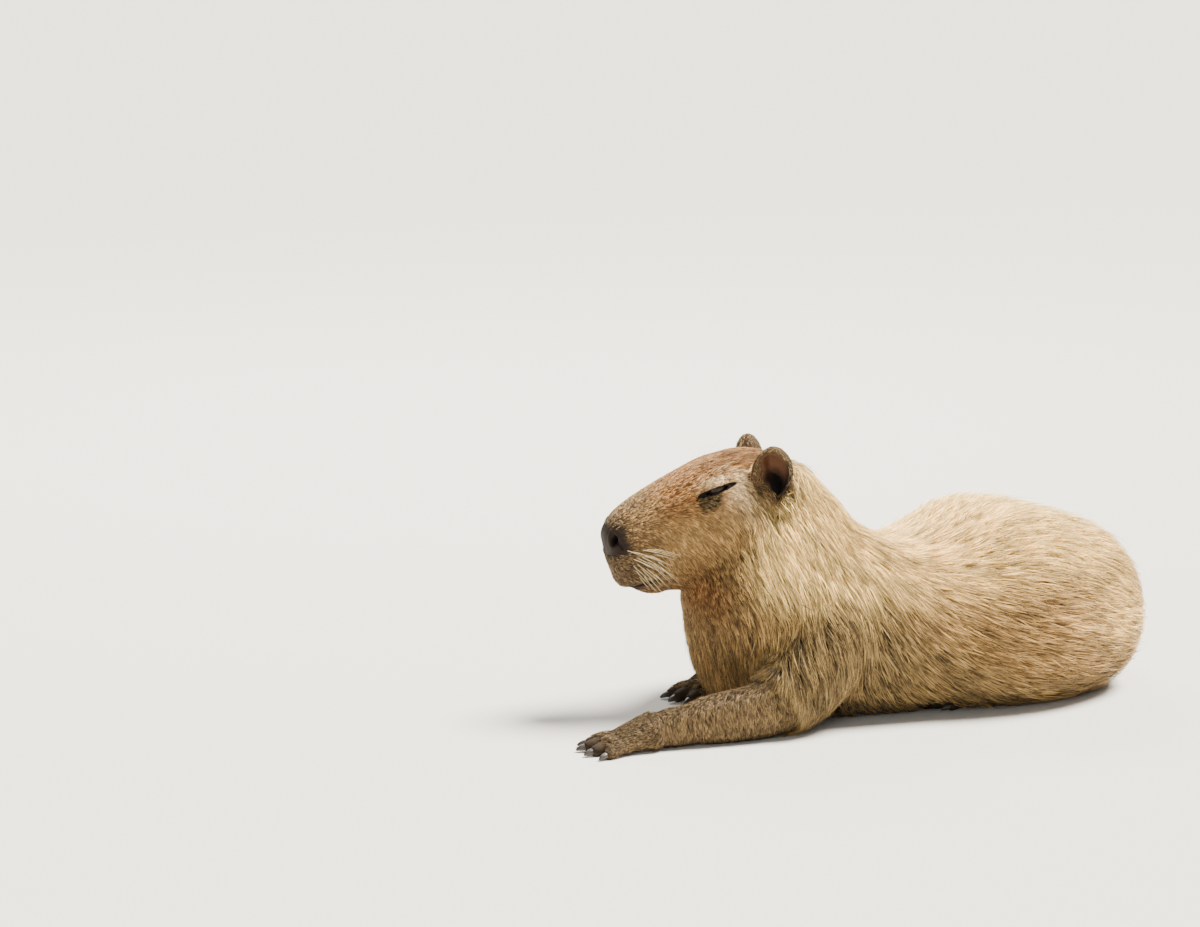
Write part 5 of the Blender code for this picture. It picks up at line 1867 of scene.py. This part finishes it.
def make_camera():
    """Looks down a little from the animal's left front; the framing puts the animal right of the middle."""
    stage = bpy.context.scene.capybara_stage
    azimuth, elevation = stage.azimuth, stage.elevation
    level = math.cos(elevation)
    right = Vector((math.cos(azimuth), math.sin(azimuth), 0))
    back = Vector((math.sin(azimuth) * level, -math.cos(azimuth) * level, math.sin(elevation)))
    upward = back.cross(right)
    scale = stage.pixels_per_metre
    aside, below = ((at - size / 2) / scale for at, size in zip(ANCHOR_PIXEL, FRAME_PIXELS))
    place = ANCHOR + back * stage.distance - right * aside + upward * below
    lens = bpy.data.cameras.new("camera")
    lens.sensor_width = SENSOR_WIDTH
    lens.lens = SENSOR_WIDTH * stage.distance * scale / FRAME_PIXELS[0]
    lens.clip_end = CLIP_END
    camera = linked("camera", lens)
    camera.matrix_world = Matrix.Translation(place) @ Matrix((right, upward, back)).transposed().to_4x4()
    bpy.context.scene.camera = camera


# ---- settings
def metres(name, description, default, low=0.0, high=1.0):
    """A length that can be changed."""
    return FloatProperty(
        name=name, description=description, default=default, min=low, max=high, precision=4, unit="LENGTH"
    )


def number(name, description, default, low, high):
    """A plain number that can be changed."""
    return FloatProperty(name=name, description=description, default=default, min=low, max=high)


def tally(name, description, default, low, high):
    """A whole number that can be changed."""
    return IntProperty(name=name, description=description, default=default, min=low, max=high)


def arc(name, description, degrees):
    """An angle that can be changed."""
    return FloatProperty(name=name, description=description, default=math.radians(degrees), subtype="ANGLE")


def watts(name, description, default):
    """A lamp's power that can be changed."""
    return FloatProperty(name=name, description=description, default=default, min=0, max=5000, unit="POWER")


def tone(name, description, hex_colour):
    """A colour that can be changed, given as sRGB hex."""
    colour = linear(hex_colour)
    return FloatVectorProperty(
        name=name, description=description, default=colour, size=3, min=0.0, max=1.0, subtype="COLOR"
    )


class HideSizes(PropertyGroup):
    """How fine the hide is and how deep it lies under the solids"""

    cell: metres("Cell", "Cell of the fused hide before the head is refined", 0.0055)
    body_depth: metres("Body depth", "How far the hide lies under the core of the long coat", 0.0075)
    head_depth: metres("Head depth", "How far the hide of the face lies under the solid", 0.0034)
    arm_depth: metres("Arm depth", "How far the hide of the forearms lies under the solid", 0.0045)


class CoatSizes(PropertyGroup):
    """Lengths, widths and heights of the tufts, and how many are made"""

    body_length: metres("Body length", "Length of a tuft on trunk and neck", 0.050)
    body_width: metres("Body width", "Width of a tuft on trunk and neck", 0.00105)
    body_rise: metres("Body rise", "Height of a tuft's tip over the hide", 0.0135)
    body_layers: number("Body layers", "Layers of tufts over each other", 5.2, 0.5, 9)
    face_length: metres("Face length", "Length of a tuft on the cheek", 0.0135)
    face_width: metres("Face width", "Width of a tuft on the face", 0.00085)
    face_rise: metres("Face rise", "Height of a tuft's tip on the cheek", 0.0026)
    face_layers: number("Face layers", "Layers of tufts on the face", 2.0, 0.5, 9)
    crest_rise: metres("Crest rise", "How much higher the hair stands at the front of the rump", 0.0075)
    arm_length: metres("Arm length", "Length of a tuft on the forearm", 0.016)
    arm_rise: metres("Arm rise", "Height of a tuft's tip on the forearm", 0.0036)
    whisker_length: metres("Whisker length", "Longest whisker", 0.062)
    body_limit: tally("Most long tufts", "Number of long tufts at most", 86000, 100, 95000)
    short_limit: tally("Most short tufts", "Number of short tufts at most", 64000, 100, 90000)
    piece_triangles: tally("Piece triangles", "Triangles in one piece at most", 180000, 1000, 199000)


class CoatTones(PropertyGroup):
    """Colours of hair, skin, eyes, nails and whiskers"""

    tan: tone("Tan", "Flank and shoulder", "#a07844")
    # painted highlight: cream on the back, the nape and the top and back edge of the rump
    highlight_cream: tone("Cream", "Back, nape and top of the rump", "#fed98a")
    # brown: partly the coat's darker tone, partly painted shade on the lower flank, jaw and elbow
    brown: tone("Brown", "Lower flank", "#4a3719")
    gold: tone("Gold", "Breast", "#9c7644")
    # partly the throat's own rufous brown, partly painted shade under the jaw
    throat_and_shade: tone("Throat", "Under the jaw", "#6a3a12")
    cheek: tone("Cheek", "Cheek and jaw", "#b08c5a")
    rufous: tone("Rufous", "Crown and forehead", "#744010")
    muzzle: tone("Muzzle", "Bridge of the nose", "#5a3f27")
    muzzle_front: tone("Front of the muzzle", "Round the nostrils and upper lip", "#44362b")
    lid: tone("Lid", "Buff band over the eye", "#e2c396")
    ear: tone("Ear", "Back and rim of the ear", "#54402a")
    # painted highlight: the paler upper rim of the ear
    ear_rim_highlight: tone("Ear rim", "Pale hair on the rim of the ear", "#58452f")
    ear_fold: tone("Ear folds", "Bare folds inside the ear", "#5e3f2c")
    arm: tone("Arm", "Forearm", "#4a3a29")
    foot: tone("Foot", "Short fur of the feet", "#5a4832")
    bare: tone("Bare skin", "Lips, lids, ears and toes", "#261e18")
    nose: tone("Nose", "Front of the nose", "#241b16")
    under_eye: tone("Under the eye", "Dark patch under the eye", "#2e2213")
    # partly the hair's own paler end, partly painted highlight
    tip: tone("Tip", "Pale end of each hair", "#f6d08c")
    iris: tone("Iris", "Dark brown of the eye", "#1c100a")
    pupil: tone("Pupil", "Black of the eye", "#070707")
    eye_edge: tone("Eye edge", "Dark rim round the iris", "#1d1612")
    nail: tone("Nail", "Horn of the nails", "#2b2520")
    whisker: tone("Whisker", "Pale bristle", "#dfcea2")


class StageSizes(PropertyGroup):
    """The view, the floor and the lights"""

    azimuth: arc("Azimuth", "Turn of the view about the upright", -24)
    elevation: arc("Elevation", "Angle of the view above level", 12)
    distance: metres("Distance", "From the camera to the animal", 7.0, 1.0, 20.0)
    pixels_per_metre: number("Pixels per metre", "Scale of the view at the animal", 750.0, 10, 5000)
    floor_size: metres("Floor size", "Side of the square floor", 30.0, 1.0, 100.0)
    floor_colour: tone("Floor", "Colour of the floor", "#d9d6cf")
    key_width: arc("Key light width", "How broad the key light looks from the animal", 24)
    key_strength: number("Key light", "Strength of the key light", 16.5, 0, 100)
    fill_power: watts("Fill light", "Power of the fill light", 45.0)
    rim_power: watts("Rim light", "Power of the light from behind", 90.0)


# ---- operators
class CAPYBARA_OT_hide(Operator):
    """Makes the skin of body, head, ears and feet in place of the solids of flesh"""

    bl_idname = "capybara.hide"
    bl_label = "Hide"

    def execute(self, context):
        hide = make_hide()
        points, normals = positions(hide.data), vertex_normals(hide.data)
        colours = markings(points, normals)
        attribute(hide.data, "marks", "FLOAT_COLOR", np.c_[colours, np.ones(len(colours))])
        attribute(hide.data, "bare", "FLOAT", bare_share(points, normals))
        head = head_share(points)[:, None]
        combed = in_head(points) * COMBED * head + points * COMBED * (1 - head)
        attribute(hide.data, "combed", "FLOAT_VECTOR", combed)
        finish_piece(hide, "body_fur", furred_hide(), *FLESH)
        return {"FINISHED"}


class CAPYBARA_OT_body_coat(Operator):
    """Grows the long, coarse tufts of neck, trunk and rump"""

    bl_idname = "capybara.body_coat"
    bl_label = "Body coat"

    def execute(self, context):
        coat = context.scene.capybara_coat
        finish = guard_hair("coarse_guard_hair", root_shade=0.30, tip_share=0.38, spread=1.05)
        grow_coat("body", "body_fur", finish, seed=3, limit=coat.body_limit, clump_size=14)
        return {"FINISHED"}


class CAPYBARA_OT_face_coat(Operator):
    """Grows the short tufts of face, ears, forearms and feet"""

    bl_idname = "capybara.face_coat"
    bl_label = "Face coat"

    def execute(self, context):
        coat = context.scene.capybara_coat
        finish = guard_hair("short_close_fur", root_shade=0.54, tip_share=0.21, spread=0.85)
        grow_coat("face", "face_fur", finish, seed=5, limit=coat.short_limit, clump_size=9)
        return {"FINISHED"}


class CAPYBARA_OT_eyes(Operator):
    """Makes both eyeballs in their sockets"""

    bl_idname = "capybara.eyes"
    bl_label = "Eyes"

    def execute(self, context):
        finish = wet_eyeball()
        for word in SIDES:
            make_eye(word, finish)
        return {"FINISHED"}


class CAPYBARA_OT_nails(Operator):
    """Makes the nails of all four feet"""

    bl_idname = "capybara.nails"
    bl_label = "Nails"

    def execute(self, context):
        make_nails(worn_horn())
        return {"FINISHED"}


class CAPYBARA_OT_whiskers(Operator):
    """Plants the whiskers on lips and brows"""

    bl_idname = "capybara.whiskers"
    bl_label = "Whiskers"

    def execute(self, context):
        make_whiskers(whisker_bristle())
        return {"FINISHED"}


class CAPYBARA_OT_stage(Operator):
    """Lays the floor and sets up the lights, the surrounding light and the camera"""

    bl_idname = "capybara.stage"
    bl_label = "Stage"

    def execute(self, context):
        stage = context.scene.capybara_stage
        make_floor()
        broad_light("key", KEY_PLACE, stage.key_width, stage.key_strength, KEY_COLOUR)
        area_light("fill", FILL_PLACE, FILL_SIZE, stage.fill_power, FILL_COLOUR)
        area_light("rim", RIM_PLACE, RIM_SIZE, stage.rim_power, RIM_COLOUR)
        fill_room()
        make_camera()
        return {"FINISHED"}


OPERATORS = (
    CAPYBARA_OT_hide,
    CAPYBARA_OT_body_coat,
    CAPYBARA_OT_face_coat,
    CAPYBARA_OT_eyes,
    CAPYBARA_OT_nails,
    CAPYBARA_OT_whiskers,
    CAPYBARA_OT_stage,
)
SETTINGS = {
    "capybara_hide": HideSizes,
    "capybara_coat": CoatSizes,
    "capybara_tones": CoatTones,
    "capybara_stage": StageSizes,
}


class CAPYBARA_PT_panel(Panel):
    """Lists the pieces of the capybara and their settings"""

    bl_idname = "CAPYBARA_PT_panel"
    bl_label = "Lying capybara"
    bl_space_type = "VIEW_3D"
    bl_region_type = "UI"
    bl_category = "Capybara"

    def draw(self, context):
        layout = self.layout
        for operator in OPERATORS:
            layout.operator(operator.bl_idname)
        for name, group in SETTINGS.items():
            box = layout.box()
            for key in group.__annotations__:
                box.prop(getattr(context.scene, name), key)


def register():
    """Makes the classes and the scene's settings known."""
    for made in (*SETTINGS.values(), *OPERATORS, CAPYBARA_PT_panel):
        bpy.utils.register_class(made)
    for name, group in SETTINGS.items():
        setattr(bpy.types.Scene, name, PointerProperty(type=group))


def unregister():
    """Takes the settings and classes away again."""
    for name in SETTINGS:
        delattr(bpy.types.Scene, name)
    for made in (CAPYBARA_PT_panel, *reversed(OPERATORS), *reversed(tuple(SETTINGS.values()))):
        bpy.utils.unregister_class(made)


def main():
    """Makes every piece and the stage."""
    register()
    bpy.ops.capybara.hide()
    bpy.ops.capybara.body_coat()
    bpy.ops.capybara.face_coat()
    bpy.ops.capybara.eyes()
    bpy.ops.capybara.nails()
    bpy.ops.capybara.whiskers()
    bpy.ops.capybara.stage()


if __name__ == "__main__":
    main()
